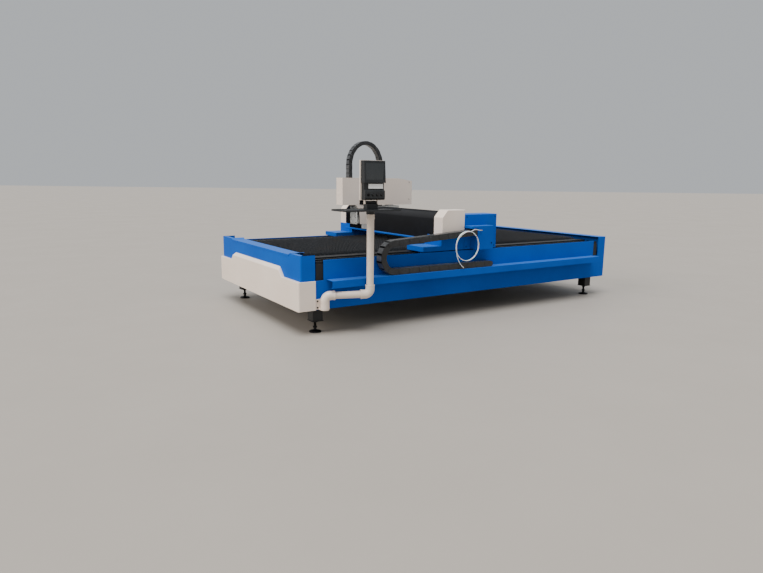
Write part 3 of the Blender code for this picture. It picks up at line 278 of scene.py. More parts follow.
def moulded(name, colour, worn, rough=(0.34, 0.52), grain=900.0):
    """Injection-moulded plastic: a 1.1 mm spark-eroded grain, handling rubs and a satin shine."""
    made, tree, shader, place = blank(name, ior=1.53)
    rub = node(tree, "TexNoise", {"Vector": place, "Scale": 16.0, "Detail": 6.0, "Roughness": 0.7})
    sparks = node(tree, "TexNoise", {"Vector": place, "Scale": grain, "Detail": 2.0, "Roughness": 0.5})
    share = node(tree, "MapRange", {0: rub, 1: 0.48, 2: 0.80, 3: 0.0, 4: 0.7})
    tone = node(tree, "Mix", {0: share, 6: linear(colour), 7: linear(worn)}, 2, data_type="RGBA")
    shine = node(tree, "MapRange", {0: rub, 1: 0.3, 2: 0.7, 3: rough[0], 4: rough[1]})
    finished(tree, shader, tone, shine, (sparks, 0.0002, 0.25))
    return made


def screen_glass(name):
    """Display glass over a switched-off panel: nearly black, glossy, with wiped smears."""
    made, tree, shader, place = blank(name, ior=1.52, coat=0.4)
    wiped = node(tree, "Mapping", {"Vector": place, "Scale": (14.0, 14.0, 5.0)})
    smear = node(tree, "TexNoise", {"Vector": wiped, "Scale": 1.0, "Detail": 5.0, "Roughness": 0.7})
    tone = node(tree, "Mix", {0: smear, 6: linear("#1C2023"), 7: linear("#2C3134")}, 2, data_type="RGBA")
    rough = node(tree, "MapRange", {0: smear, 1: 0.3, 2: 0.7, 3: 0.10, 4: 0.30})
    finished(tree, shader, tone, rough, (smear, 0.0002, 0.1))
    return made


def hose_plastic(name):
    """Extruded polyurethane tube, milky white: it lets a little light in, and its skin is a
    little uneven every 4 mm."""
    made, tree, shader, place = blank(name, ior=1.5)
    shader.inputs["Subsurface Weight"].default_value = 0.25
    shader.inputs["Subsurface Scale"].default_value = 0.004
    cloud = node(tree, "TexNoise", {"Vector": place, "Scale": 25.0, "Detail": 3.0, "Roughness": 0.5})
    skin = node(tree, "TexNoise", {"Vector": place, "Scale": 240.0, "Detail": 2.0, "Roughness": 0.5})
    tone = node(tree, "Mix", {0: cloud, 6: linear("#F2F6F7"), 7: linear("#D9E2E6")}, 2, data_type="RGBA")
    rough = node(tree, "MapRange", {0: cloud, 1: 0.3, 2: 0.7, 3: 0.22, 4: 0.36})
    finished(tree, shader, tone, rough, (skin, 0.0003, 0.15))
    return made


def polished_floor(name):
    """Plain pale floor: smooth concrete with a faint cloud in it."""
    made, tree, shader, place = blank(name)
    cloud = node(tree, "TexNoise", {"Vector": place, "Scale": 0.8, "Detail": 5.0, "Roughness": 0.6})
    pores = node(tree, "TexNoise", {"Vector": place, "Scale": 90.0, "Detail": 3.0, "Roughness": 0.6})
    tone = node(tree, "Mix", {0: cloud, 6: linear("#ABA49B"), 7: linear("#A09990")}, 2, data_type="RGBA")
    rough = node(tree, "MapRange", {0: cloud, 1: 0.3, 2: 0.7, 3: 0.50, 4: 0.62})
    finished(tree, shader, tone, rough, (pores, 0.0006, 0.1))
    return made


# The blue's gleam is low, because a white shine makes it paler than the machine's.
# The third colour of each enamel is a painted highlight on faces that look up, where the tops catch the sky.
BLUE = sprayed("blue_enamel", "#0056B8", "#004DAA", "#7FB4E4", gleam=0.02, top_highlight_share=0.20)
CREAM = sprayed("warm_white_enamel", "#F0E2D5", "#E8D9CB", "#F7F0E9", gloss=(0.34, 0.48), gleam=0.4)
BLACK = textured_powder("black_powder_coat", "#0B0C0F", "#1D1F23")
CHARCOAL = textured_powder("charcoal_powder_coat", "#1B1E21", "#303336", rough=(0.40, 0.55))
SLAT = hot_rolled("mill_scale_steel")
STEEL = ground_steel("ground_steel")
RAIL = ground_steel("greased_rail_steel", "#38393C", "#242527", rough=(0.36, 0.52))
RACK = ground_steel("oiled_rack_steel", "#36373A", "#26272A", rough=(0.34, 0.50))
OXIDE = ground_steel("black_oxide_steel", "#2A2A2C", "#1B1B1D", (90.0, 90.0, 90.0), (0.34, 0.5))
ALLOY = milled_alloy("milled_aluminium")
CLOTH = coated_cloth("coated_bellows_cloth")
NYLON = moulded("black_glass_filled_nylon", "#191B1E", "#3A3C3F", rough=(0.34, 0.50))
# The lids are the chain's nylon in a paler, glossier copy: a painted highlight on the faces that catch the
# light.
NYLON_LID_PAINTED_HIGHLIGHT = moulded("nylon_lids_painted_highlight", "#37393C", "#6A6C6E", rough=(0.24, 0.38))
PIPE = moulded("cream_painted_pipe", "#E2D4C6", "#CFBFB0", rough=(0.26, 0.40))
RUBBER = moulded("black_rubber", "#141415", "#2C2C2D", rough=(0.6, 0.8), grain=500.0)
GLASS = screen_glass("screen_glass")
PLATE = moulded("blank_grey_plate", "#FAFBFB", "#EEF0F0", rough=(0.35, 0.5))
HOSE = hose_plastic("white_polyurethane_tube")
BRASS = ground_steel("nickel_plated_brass", "#C9C4B4", "#A39C88", (60.0, 60.0, 60.0), (0.2, 0.34))


# Mesh tools

def block(bm, low, high):
    """Box between two corners."""
    made = bmesh.ops.create_cube(bm, size=1.0)["verts"]
    low = Vector(low)
    high = Vector(high)
    bmesh.ops.scale(bm, vec=high - low, verts=made)
    bmesh.ops.translate(bm, vec=(low + high) / 2, verts=made)
    return made


def bar(bm, start, end, radius, segments=16, tip=None):
    """Round bar between two points, tapered where a tip radius is given."""
    start = Vector(start)
    axis = Vector(end) - start
    made = bmesh.ops.create_cone(bm, cap_ends=True, segments=segments, radius1=radius,
                                 radius2=radius if tip is None else tip, depth=axis.length)["verts"]
    bmesh.ops.rotate(bm, matrix=axis.to_track_quat("Z", "Y").to_matrix(), verts=made)
    bmesh.ops.translate(bm, vec=start + axis / 2, verts=made)
    return made


def laid(axis, u, v, level):
    """Point of a flat outline across an axis: (y, z), (x, z) or (x, y) at a level."""
    return {"X": (level, u, v), "Y": (u, level, v), "Z": (u, v, level)}[axis]


def new_verts(grown):
    """Vertices among what an extrude has made."""
    return [item for item in grown["geom"] if isinstance(item, bmesh.types.BMVert)]


def slab(bm, points, axis, start, end):
    """Flat outline extruded from start to end along an axis."""
    face = bm.faces.new([bm.verts.new(laid(axis, u, v, start)) for u, v in points])
    moved = new_verts(bmesh.ops.extrude_face_region(bm, geom=[face]))
    bmesh.ops.translate(bm, vec=Vector(laid(axis, 0, 0, end - start)), verts=moved)
    solid = list(face.verts) + moved
    faces = list({link for vert in solid for link in vert.link_faces})
    bmesh.ops.recalc_face_normals(bm, faces=faces)
    return solid


def turned(bm, profile, place, steps=24, axis="Z"):
    """Profile of (radius, height) turned about an axis through a point."""
    verts = [bm.verts.new((radius, 0.0, height)) for radius, height in profile]
    edges = [bm.edges.new(pair) for pair in zip(verts, verts[1:])]
    bmesh.ops.spin(bm, geom=verts + edges, cent=(0, 0, 0), axis=(0, 0, 1), angle=math.tau,
                   steps=steps, use_merge=True)
    seen = set(verts)
    queue = list(verts)
    while queue:
        vert = queue.pop()
        for edge in vert.link_edges:
            other = edge.other_vert(vert)
            if other not in seen:
                seen.add(other)
                queue.append(other)
    bmesh.ops.remove_doubles(bm, verts=list(seen), dist=0.00001)
    solid = [vert for vert in seen if vert.is_valid]
    faces = list({link for vert in solid for link in vert.link_faces})
    bmesh.ops.recalc_face_normals(bm, faces=faces)
    turn = {"Z": Matrix.Identity(3), "X": Matrix.Rotation(math.pi / 2, 3, "Y"),
            "Y": Matrix.Rotation(math.pi / 2, 3, "X")}[axis]
    bmesh.ops.rotate(bm, matrix=turn, verts=solid)
    bmesh.ops.translate(bm, vec=Vector(place), verts=solid)
    return solid


def soften(bm, width, segments=2, angle=28, verts=None, choose=None):
    """Round the edges where faces meet sharply."""
    chosen = set(verts) if verts else None
    edges = []
    for edge in bm.edges:
        if len(edge.link_faces) != 2 or edge.calc_face_angle(0.0) < math.radians(angle):
            continue
        if chosen and not (edge.verts[0] in chosen and edge.verts[1] in chosen):
            continue
        if choose and not choose(edge):
            continue
        edges.append(edge)
    if edges:
        bmesh.ops.bevel(bm, geom=edges, offset=width, offset_type="OFFSET", segments=segments,
                        profile=0.5, affect="EDGES", clamp_overlap=True, material=-1)


def open_up(bm, *directions):
    """Take away the faces that look one of these ways."""
    gone = [face for face in bm.faces
            if any(face.normal.dot(Vector(direction)) > 0.95 for direction in directions)]
    bmesh.ops.delete(bm, geom=gone, context="FACES")


def cut(bm, place, normal, clear=False):
    """Cut the whole mesh along a plane, and take away what lies beyond it where asked."""
    everything = list(bm.verts) + list(bm.edges) + list(bm.faces)
    bmesh.ops.bisect_plane(bm, geom=everything, plane_co=place, plane_no=normal, clear_outer=clear)


def rise(edge):
    """How far an edge climbs."""
    return abs(edge.verts[0].co.z - edge.verts[1].co.z)


def tube(name, points, radius, resolution):
    """Round tube with filled caps along a list of points, as a curve object."""
    curve = bpy.data.curves.new(name, "CURVE")
    curve.dimensions = "3D"
    curve.bevel_depth = radius
    curve.bevel_resolution = resolution
    curve.use_fill_caps = True
    spline = curve.splines.new("POLY")
    spline.points.add(len(points) - 1)
    for point, co in zip(spline.points, points):
        point.co = (*co, 1.0)
    spline.use_smooth = True
    obj = bpy.data.objects.new(name, curve)
    bpy.context.scene.collection.objects.link(obj)
    return obj


def screw(bm, place, toward, radius=0.006, height=0.004):
    """Socket-head screw standing out of a surface."""
    place = Vector(place)
    toward = Vector(toward).normalized()
    made = bar(bm, place - toward * 0.001, place + toward * height, radius, 12, radius * 0.86)
    top = max((face for vert in made for face in vert.link_faces),
              key=lambda face: face.calc_center_median().dot(toward) if len(face.verts) > 4 else -1e9)
    bmesh.ops.inset_region(bm, faces=[top], thickness=radius * 0.38, use_even_offset=True)
    bmesh.ops.translate(bm, vec=-toward * height * 0.6, verts=list(top.verts))


def nut(bm, place, toward, across, height):
    """Hexagon nut or bolt head, with its corners turned off."""
    place = Vector(place)
    toward = Vector(toward).normalized()
    made = bar(bm, place, place + toward * height, across / math.sqrt(3), 6)
    soften(bm, across * 0.04, 1, 40, made)


def piece(name, bm, finish, body, stands_for=(), wall=0.0, crisp=32, weighted=True):
    """Finished mesh moved from the machine's frame into the row's, riding on its body."""
    bmesh.ops.translate(bm, vec=HOME, verts=bm.verts)
    mesh = bpy.data.meshes.new(name)
    bm.to_mesh(mesh)
    bm.free()
    mesh.shade_smooth()
    mesh.set_sharp_from_angle(angle=math.radians(crisp))
    mesh.materials.append(finish)
    obj = bpy.data.objects.new(name, mesh)
    bpy.context.scene.collection.objects.link(obj)
    if wall:
        skin = obj.modifiers.new("Wall", "SOLIDIFY")
        skin.thickness = wall
        skin.offset = -1.0
        skin.use_even_offset = True
    if weighted:
        shade = obj.modifiers.new("Shade", "WEIGHTED_NORMAL")
        shade.keep_sharp = True
    if body:
        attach(obj, body)
    if stands_for:
        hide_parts(*stands_for)
    return obj


def dressed(name, finish, width=0.0015, segments=2, angle=28, above=None):
    """The CAD solid with its doubles merged and its sharp edges broken, in its own place.

    Where a height is given, what lies below it is cut away."""
    bm = bmesh.new()
    bm.from_mesh(frame["nodes"][name].data)
    bmesh.ops.remove_doubles(bm, verts=bm.verts, dist=0.00002)
    bmesh.ops.dissolve_limit(bm, angle_limit=math.radians(0.6), verts=bm.verts, edges=bm.edges)
    bmesh.ops.translate(bm, vec=-HOME, verts=bm.verts)
    if above is not None:
        cut(bm, (0, 0, above), (0, 0, -1), True)
        rim = [edge for edge in bm.edges if edge.is_boundary]
        bmesh.ops.triangle_fill(bm, use_beauty=True, use_dissolve=True, edges=rim)
        bmesh.ops.recalc_face_normals(bm, faces=bm.faces)
    soften(bm, width, segments, angle)
    return piece(name + "_finished", bm, finish, BODY_OF[name], (name,))


def both():
    """The two sides with the sign of their y."""
    return (("near", -1), ("far", 1))


def span(sign, inner, outer):
    """Lower and higher y of what lies between two distances from the centre line."""
    return tuple(sorted((sign * inner, sign * outer)))


# Hose

def smooth(points, count):
    """Points along a smooth curve through a few chosen ones."""
    padded = [points[0] * 2 - points[1]] + list(points) + [points[-1] * 2 - points[-2]]
    result = []
    spans = len(points) - 1
    for index in range(count + 1):
        run = min(index / count * spans, spans - 1e-6)
        step = int(run)
        t = run - step
        a, b, c, d = padded[step:step + 4]
        result.append(((b * 2) + (c - a) * t + (a * 2 - b * 5 + c * 4 - d) * t * t
                       + (b * 3 - a - c * 3 + d) * t * t * t) / 2)
    return result


def eased(share):
    """Soft run from 0 to 1."""
    return share * share * (3 - 2 * share)


def hose_route(exit_point, centre):
    """Points of the hose: the lead from the elbow to the coil is 0.16 m long, the turns follow
    as a loop, and the tail hangs 0.24 m below the coil's left side.

    The turns lie in two lanes side by side. The hose comes into the back lane by the angle
    settled, changes lanes between crossing and crossed, hangs a little slack after that, and
    swings out to the tail from the angle leaving on."""
    lead = ((-0.020, -0.0013, 0.0020), (-0.045, -0.0030, 0.0065), (-0.071, -0.0034, 0.0103),
            (-0.098, -0.0028, 0.0110))
    tail = ((0.0035, -0.0005, -0.050), (0.014, -0.001, -0.098), (0.036, -0.001, -0.143),
            (0.066, 0.0, -0.183), (0.100, 0.002, -0.215))
    beside = -0.0123
    lane = 0.0043
    begin = 78.0
    settled = 200.0
    crossing = 440.0
    crossed = 560.0
    slack = 640.0
    leaving = 800.0
    end = 908.0
    steps = 41
    path = [exit_point] + [exit_point + Vector(step) for step in lead]
    for step in range(steps + 1):
        angle = begin + (end - begin) * step / steps
        radius = COIL
        if angle < settled:
            share = (angle - begin) / (settled - begin)
            side = beside + (lane - beside) * eased(share)
            radius -= 0.0125 * math.sin(math.pi * min(1.0, share * 1.02)) ** 1.5
        elif angle < crossing:
            side = lane
        elif angle < crossed:
            share = (angle - crossing) / (crossed - crossing)
            side = lane - 2 * lane * eased(share)
            radius += 0.0012 * math.sin(math.pi * share)
        elif angle < leaving:
            side = -lane
        else:
            share = (angle - leaving) / (end - leaving)
            side = -lane + (beside + lane) * eased(share)
        if slack < angle < leaving:
            radius += 0.004 * math.sin(math.pi * (angle - slack) / (leaving - slack)) ** 2
        bearing = math.radians(angle)
        path.append(centre + Vector((math.cos(bearing) * radius, side, math.sin(bearing) * radius)))
    foot = path[-1]
    path += [foot + Vector(step) for step in tail]
    return smooth(path, (len(path) - 1) * 6)


def hose_elbow(elbow):
    """Elbow fitting: hexagon foot on the bracket, round body, and a collar toward the coil."""
    bm = bmesh.new()
    for start, end, radius, sides in ((0.001, -0.009, 0.0088, 6), (-0.008, -0.0265, 0.0074, 20)):
        bar(bm, (elbow.x, BRACKET_FACE + start, elbow.z), (elbow.x, BRACKET_FACE + end, elbow.z), radius,
            sides)
    for start, end, radius in ((0.0074, -0.018, 0.0072), (-0.017, -0.0205, 0.0062)):
        bar(bm, elbow + Vector((start, 0, 0)), elbow + Vector((end, 0, 0)), radius, 20)
    soften(bm, 0.0012, 2, 40)
    piece("hose_elbow", bm, BRASS, "gantry")


def hose_fitting(end, along):
    """Push-in fitting on the free end: sleeve, hexagon and spigot."""
    bm = bmesh.new()
    bar(bm, end - along * 0.006, end + along * 0.010, 0.0068, 16)
    bar(bm, end + along * 0.010, end + along * 0.018, 0.0076, 6)
    bar(bm, end + along * 0.018, end + along * 0.026, 0.0048, 16, 0.0040)
    soften(bm, 0.0007, 1)
    return piece("hose_fitting", bm, BRASS, "gantry")


def hose_ties(centre):
    """Three ties round the coil's turns, each an oval band with its lock outside."""
    band = (0.0062, 0.0106, 1.0)
    width = 0.0045
    lock = Vector((0.0022, 0.0035, 0.0022))
    bm = bmesh.new()
    for degrees in (38.0, 232.0, 318.0):
        angle = math.radians(degrees)
        out = Vector((math.cos(angle), 0.0, math.sin(angle)))
        forward = Vector((-math.sin(angle), 0.0, math.cos(angle)))
        spot = centre + out * COIL
        ring = bmesh.ops.create_circle(bm, segments=16, radius=1.0)["verts"]
        bmesh.ops.scale(bm, vec=band, verts=ring)
        edges = [edge for edge in bm.edges if edge.verts[0] in ring and edge.verts[1] in ring]
        top = new_verts(bmesh.ops.extrude_edge_only(bm, edges=edges))
        bmesh.ops.translate(bm, vec=(0, 0, width), verts=top)
        turn = Matrix((out, Vector((0, 1, 0)), forward)).transposed()
        if turn.determinant() < 0:
            turn = Matrix((out, Vector((0, -1, 0)), forward)).transposed()
        bmesh.ops.rotate(bm, matrix=turn, verts=ring + top)
        bmesh.ops.translate(bm, vec=spot, verts=ring + top)
        block(bm, spot + out * 0.0055 - lock, spot + out * 0.0055 + lock)
    return piece("hose_ties", bm, RUBBER, "gantry", wall=0.0012)


def air_hose():
    """8 mm air hose: out of an elbow on the chain bracket, two and a third turns, a free tail."""
    centre = Vector((GANTRY + 0.27, BRACKET_FACE - GAP - 0.008, 0.853))
    elbow = Vector((GANTRY + 0.475, BRACKET_FACE - 0.0190, 1.030))
    exit_point = elbow + Vector((-0.015, 0.0, 0.0))
    route = hose_route(exit_point, centre)
    obj = tube("air_hose", [point + HOME for point in route], 0.004, 3)
    obj.data.materials.append(HOSE)
    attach(obj, "gantry")
    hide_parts("hose_coil", "hose_lead", "hose_tail")
    hose_elbow(elbow)
    fitting = hose_fitting(route[-1], (route[-1] - route[-3]).normalized())
    ties = hose_ties(centre)


# Bed

def blue_front_cover():
    """Blue upper cover: a sheet with raised ends, its narrow return there, a wide flange let in
    between them, and a black baffle behind.

    Beyond the flange the sheet's bare edge stands up and the frame shows behind it."""
    depth = 0.163
    crest = COVER_TOP
    sunk = crest - 0.015
    near_step = (-0.955, -0.928)
    far_step = (0.832, 0.859)
    edge = HALF - 0.004
    bm = bmesh.new()
    block(bm, (0, -HALF, COVER_SEAM), (depth, HALF, crest))
    open_up(bm, (0, 0, -1), (1, 0, 0), (0, 0, 1))
    for y in (*near_step, *far_step):
        cut(bm, (0, y, 0), (0, 1, 0))
    for vert in bm.verts:
        if vert.co.z > sunk and near_step[1] - GAP < vert.co.y < far_step[0] + GAP:
            vert.co.z = sunk
    soften(bm, 0.016, 4, choose=lambda e: rise(e) > 0.1)
    piece("front_cover", bm, BLUE, "bed", ("front_cover_upper",), wall=SHEET)

    bm = bmesh.new()
    front = 0.002
    back = front + 0.05
    for step, end, mitre in ((near_step[0], -edge, 0.05), (far_step[1], edge, -0.05)):
        slab(bm, [(front, end), (back, end + mitre), (back, step), (front, step)], "Z", crest - SHEET,
             crest - 0.0002)
    piece("front_return", bm, BLUE, "bed")

    bm = bmesh.new()
    reach = edge - 0.001
    front = 0.0045
    back = 0.1745
    low = 0.640
    thick = 0.0025
    front_lip = low + 0.022
    back_lip = low + 0.060
    slab(bm, [(front, front_lip), (front, low), (back, low), (back, back_lip), (back - thick, back_lip),
              (back - thick, low + thick), (front + thick, low + thick), (front + thick, front_lip)],
         "Y", -reach, reach)
    piece("front_baffle", bm, BLACK, "bed")

    bm = bmesh.new()
    front = -0.0035
    lap = 0.012
    run = [(near_step[0] - lap, crest), (near_step[0], crest), (near_step[1], sunk), (far_step[0], sunk),
           (far_step[1], crest), (far_step[1] + lap, crest)]
    under = [(y, z + GAP) for y, z in run]
    over = [(y, z + GAP + SHEET) for y, z in run]
    slab(bm, under + over[::-1], "X", front, depth)
    block(bm, (front, near_step[1], sunk - 0.015), (-GAP, far_step[0], sunk + GAP))
    block(bm, (depth - SHEET, near_step[1], sunk - 0.018), (depth, far_step[0], sunk + GAP))
    bmesh.ops.remove_doubles(bm, verts=bm.verts, dist=0.00005)
    soften(bm, 0.001, 2, 60, choose=lambda e: max(v.co.z for v in e.verts) > sunk + SHEET)
    piece("front_flange", bm, BLUE, "bed")


def white_front_cover():
    """White lower cover: a folded front with a raised hump, its ends turned back along the bed."""
    side = HALF + 0.012
    front = -0.035
    low = 0.27
    shoulder = 0.575
    hump = 0.640
    hump_foot = 0.80
    hump_top = 0.735
    crown = 0.70
    lift = 0.035
    bm = bmesh.new()
    places = [(-side, low), (side, low), (side, shoulder), (hump_foot, shoulder), (hump_top, hump),
              (-hump_top, hump), (-hump_foot, shoulder), (-side, shoulder)]
    bm.faces.new([bm.verts.new((front, y, z)) for y, z in places])
    ridge = [edge for edge in bm.edges if min(vert.co.z for vert in edge.verts) > 0.5]
    back = new_verts(bmesh.ops.extrude_edge_only(bm, edges=ridge))
    bmesh.ops.translate(bm, vec=(-front - GAP, 0, 0), verts=back)
    lifted = [vert for vert in back if vert.co.z > 0.6]
    bmesh.ops.translate(bm, vec=(0, 0, lift), verts=lifted)
    bmesh.ops.scale(bm, vec=(1, crown / hump_top, 1), verts=lifted)
    walls = [edge for edge in bm.edges if rise(edge) > 0.2 and abs(abs(edge.verts[0].co.y) - side) < 1e-5]
    for reach in (-front - GAP, 0.163 + GAP):
        grown = bmesh.ops.extrude_edge_only(bm, edges=walls)
        bmesh.ops.translate(bm, vec=(reach, 0, 0), verts=new_verts(grown))
        walls = [item for item in grown["geom"] if isinstance(item, bmesh.types.BMEdge) and rise(item) > 0.2]
    bmesh.ops.remove_doubles(bm, verts=bm.verts, dist=0.0001)
    tops = [edge for edge in bm.edges
            if all(abs(v.co.z - shoulder) < 1e-5 and abs(abs(v.co.y) - side) < 1e-5 and v.co.x > -0.001
                   for v in edge.verts)]
    for vert in new_verts(bmesh.ops.extrude_edge_only(bm, edges=tops)):
        vert.co.y = math.copysign(HALF + 0.0006, vert.co.y)
    bmesh.ops.recalc_face_normals(bm, faces=bm.faces)
    broad = max(bm.faces, key=lambda face: face.calc_area())
    if broad.normal.x > 0:
        bmesh.ops.reverse_faces(bm, faces=bm.faces)
    soften(bm, 0.020, 4, choose=lambda e: rise(e) > 0.2)
    soften(bm, 0.0045, 3, 20)
    piece("white_front_cover", bm, CREAM, "bed", ("front_cover_lower",), wall=SHEET)


def rear_cover():
    """Rear cover: a folded sheet with two fields of louvres."""
    bm = bmesh.new()
    block(bm, (LENGTH - 0.163, -HALF, 0.27), (LENGTH, HALF, COVER_TOP))
    open_up(bm, (0, 0, -1), (-1, 0, 0))
    soften(bm, 0.016, 4, choose=lambda e: rise(e) > 0.1)
    soften(bm, 0.004, 3, 60)
    piece("rear_cover_shell", bm, BLUE, "bed", ("rear_cover",), wall=SHEET)
    bm = bmesh.new()
    half_width = 0.15
    pitch = 0.035
    root = LENGTH - 0.001
    for centre in (-0.62, 0.62):
        for row in range(7):
            z = 0.40 + row * pitch
            slab(bm, [(root, z), (LENGTH, z), (LENGTH, z + 0.004), (root, z + 0.02)], "Y",
                 centre - half_width, centre + half_width)
    piece("rear_louvres", bm, BLUE, "bed")


def side_panels():
    """Long side panels, with painted button screws along the skirts."""
    for side, sign in both():
        dressed("side_panel_" + side, BLUE, 0.0025, 3)
        dressed("skirt_panel_" + side, BLUE, 0.0025, 3)
        bm = bmesh.new()
        for column in range(9):
            for z in (0.295, 0.452):
                screw(bm, (0.30 + column * 0.525, sign * HALF, z), (0, sign, 0), 0.0055, 0.0022)
        piece("skirt_screws_" + side, bm, BLUE, "bed")


def shelf():
    """Folded steel trough that the long energy chain lies on, with its brackets."""
    dressed("chain_shelf", BLUE, 0.0013)
    wall = -HALF - 0.0005
    nose = -HALF - 0.134
    top = 0.5795
    half_thick = 0.002
    bm = bmesh.new()
    for x in (0.40, 1.20, 2.00, 2.80, 3.60, 4.40):
        slab(bm, [(wall, top), (wall, 0.512), (-HALF - 0.004, 0.508), (nose, 0.572), (nose, top)], "X",
             x - half_thick, x + half_thick)
    soften(bm, 0.0008, 1)
    piece("shelf_brackets", bm, BLUE, "bed")


def ways():
    """Profile rails with capped bolt holes, and racks with 2 mm module teeth."""
    start = 0.18
    end = LENGTH - start
    seat = 0.7453
    top = 0.775
    caps = 55
    tooth_depth = 0.0045
    pitch = 0.002 * math.pi
    rail_half = [(0.013, seat), (0.013, 0.7515), (0.0095, 0.7555), (0.0095, 0.7625), (0.013, 0.7662),
                 (0.013, 0.7725), (0.0105, top)]
    for side, sign in both():
        centre = sign * 1.055
        bm = bmesh.new()
        outline = [(centre + u, z) for u, z in rail_half] + [(centre - u, z) for u, z in reversed(rail_half)]
        slab(bm, outline, "X", start, end)
        piece("rail_ground_" + side, bm, RAIL, "bed", ("rail_" + side,))
        bm = bmesh.new()
        for index in range(caps):
            x = 0.24 + index * 0.08
            bar(bm, (x, centre, top - 0.0005), (x, centre, top + 0.0002), 0.0068, 12)
        piece("rail_caps_" + side, bm, RUBBER, "bed")

        outer = sign * (HALF - 0.014)
        tip = HALF - 0.038
        root = tip + tooth_depth
        bm = bmesh.new()
        verts = [(start, outer), (start, sign * root)]
        for tooth in range(int((LENGTH - 2 * start) / pitch)):
            x = start + tooth * pitch
            verts += [(x + share * pitch, sign * y)
                      for share, y in ((0.10, root), (0.32, tip), (0.60, tip), (0.82, root))]
        verts += [(end, sign * root), (end, outer)]
        slab(bm, verts, "Z", seat, top)
        piece("rack_toothed_" + side, bm, RACK, "bed", ("rack_" + side,), weighted=False)


def slats():
    """Removable slats 50 mm apart, laser-cut with pointed teeth, dropped into slotted bars.

    Every second slat's teeth are shifted by half a tooth, and the tips are worn unevenly."""
    start = 0.21
    pitch = 0.050
    thick = 0.0022
    reach = 0.865
    teeth = 46
    low = 0.722
    valley = 0.792
    shoulder = valley - 0.002
    tip_top = 0.8195
    tip_half = 0.0025
    wear = 0.004
    step = 2 * reach / teeth
    count = int((LENGTH - 2 * start) / pitch) + 1
    chance = random.Random(7)
    bm = bmesh.new()
    for index in range(count):
        x = start + index * pitch
        shift = step / 2 if index % 2 else 0.0
        outline = [(-reach, low), (reach, low), (reach, shoulder)]
        for tooth in range(teeth - 1):
            tip = reach - (tooth + 0.5) * step - shift / 2
            top = tip_top - chance.uniform(0.0, wear)
            outline += [(tip + step * 0.30, valley), (tip + tip_half, top), (tip - tip_half, top),
                        (tip - step * 0.30, valley)]
        outline.append((-reach, shoulder))
        slab(bm, outline, "X", x, x + thick)
    piece("slats", bm, SLAT, "bed", ("slat_table",), weighted=False)

    ends = (0.19, LENGTH - 0.19)
    bar_low = 0.7003
    bar_top = 0.76
    slot = low - 0.0006
    half_thick = 0.006
    bm = bmesh.new()
    for y in (0.03 - reach, reach - 0.03):
        outline = [(ends[0], bar_low), (ends[1], bar_low), (ends[1], bar_top)]
        for index in reversed(range(count)):
            x = start + index * pitch
            outline += [(x + 0.005, bar_top), (x + 0.0042, slot), (x - 0.002, slot), (x - 0.0028, bar_top)]
        outline.append((ends[0], bar_top))
        slab(bm, outline, "Y", y - half_thick, y + half_thick)
    piece("slat_bars", bm, BLACK, "bed", weighted=False)


def feet():
    """Levelling feet: bracket box, threaded stud with two nuts, and a pad on rubber."""
    thread_top = 0.126
    pitch = 0.004
    crest = 0.0142
    root = 0.0124
    rubber_top = 0.0055
    pad = [(0.014, 0.046), (0.018, 0.028), (0.030, 0.024), (0.056, 0.018), (0.063, 0.013), (0.065, 0.009),
           (0.065, rubber_top), (0.0, rubber_top)]
    rubber = [(0.0, rubber_top), (0.0625, rubber_top), (0.0645, 0.0035), (0.0645, 0.0), (0.0, 0.0)]
    for side, sign in both():
        for end, x in (("front", 0.228), ("rear", LENGTH - 0.228)):
            y = sign * (HALF - 0.145)
            bm = bmesh.new()
            block(bm, (x - 0.055, y - 0.06, 0.13), (x + 0.065, y + 0.06, 0.2797))
            soften(bm, 0.004, 2)
            made = block(bm, (x - 0.062, y - 0.064, 0.1245), (x + 0.072, y + 0.064, 0.1305))
            soften(bm, 0.0015, 1, 28, made)
            piece("foot_bracket_{}_{}".format(side, end), bm, BLACK, "bed")
            bm = bmesh.new()
            profile = [(0.0, thread_top)]
            for turn in range(20):
                z = thread_top - turn * pitch
                profile += [(crest, z), (root, z - pitch / 2)]
            turned(bm, profile + pad, (x, y, 0), 24)
            nut(bm, (x, y, 0.0465), (0, 0, 1), 0.041, 0.020)
            nut(bm, (x, y, 0.1045), (0, 0, 1), 0.041, 0.0198)
            piece("foot_stud_{}_{}".format(side, end), bm, OXIDE, "bed",
                  ("leg_{}_{}".format(side, end),))
            bm = bmesh.new()
            turned(bm, rubber, (x, y, 0), 32)
            piece("foot_rubber_{}_{}".format(side, end), bm, RUBBER, "bed")


def frame_parts():
    """Bed tubes, scrap tray and the arm's wall plate."""
    for name in ("side_near", "side_far", "cross_front", "cross_middle", "cross_rear"):
        dressed("bed_" + name, BLACK, 0.0012)
    dressed("scrap_tray", BLACK, 0.001)
    dressed("arm_base", CREAM, 0.0016)
    bm = bmesh.new()
    for z in (0.296, 0.364):
        nut(bm, (ARM_X - 0.058, -HALF - 0.006, z), (0, -1, 0), 0.017, 0.0075)
    piece("arm_base_bolts", bm, OXIDE, "bed")


# Gantry

def saddles():
    """Saddles that carry the gantry, the risers in front of them, and the drives."""
    for side, sign in both():
        dressed("saddle_" + side, BLUE, 0.0025, 3)
        bm = bmesh.new()
        y = sign * (HALF - 0.165)
        for x in (GANTRY - 0.085, GANTRY - 0.035):
            for offset in (-0.085, 0.085):
                screw(bm, (x, y + offset, 0.85), (0, 0, 1), 0.0085, 0.003)
        piece("saddle_screws_" + side, bm, BLUE, "gantry")
        bm = bmesh.new()
        low_y, high_y = span(sign, 0.935, HALF - 0.0005)
        block(bm, (GANTRY - 0.0042, low_y, 0.8502), (GANTRY - GAP, high_y, RISER_TOP))
        soften(bm, 0.0015, 2)
        piece("saddle_riser_" + side, bm, BLUE, "gantry")
        dressed("pinion_" + side, STEEL, 0.0003, 1)
        dressed("x_motor_" + side, BLACK, 0.0025, 2)


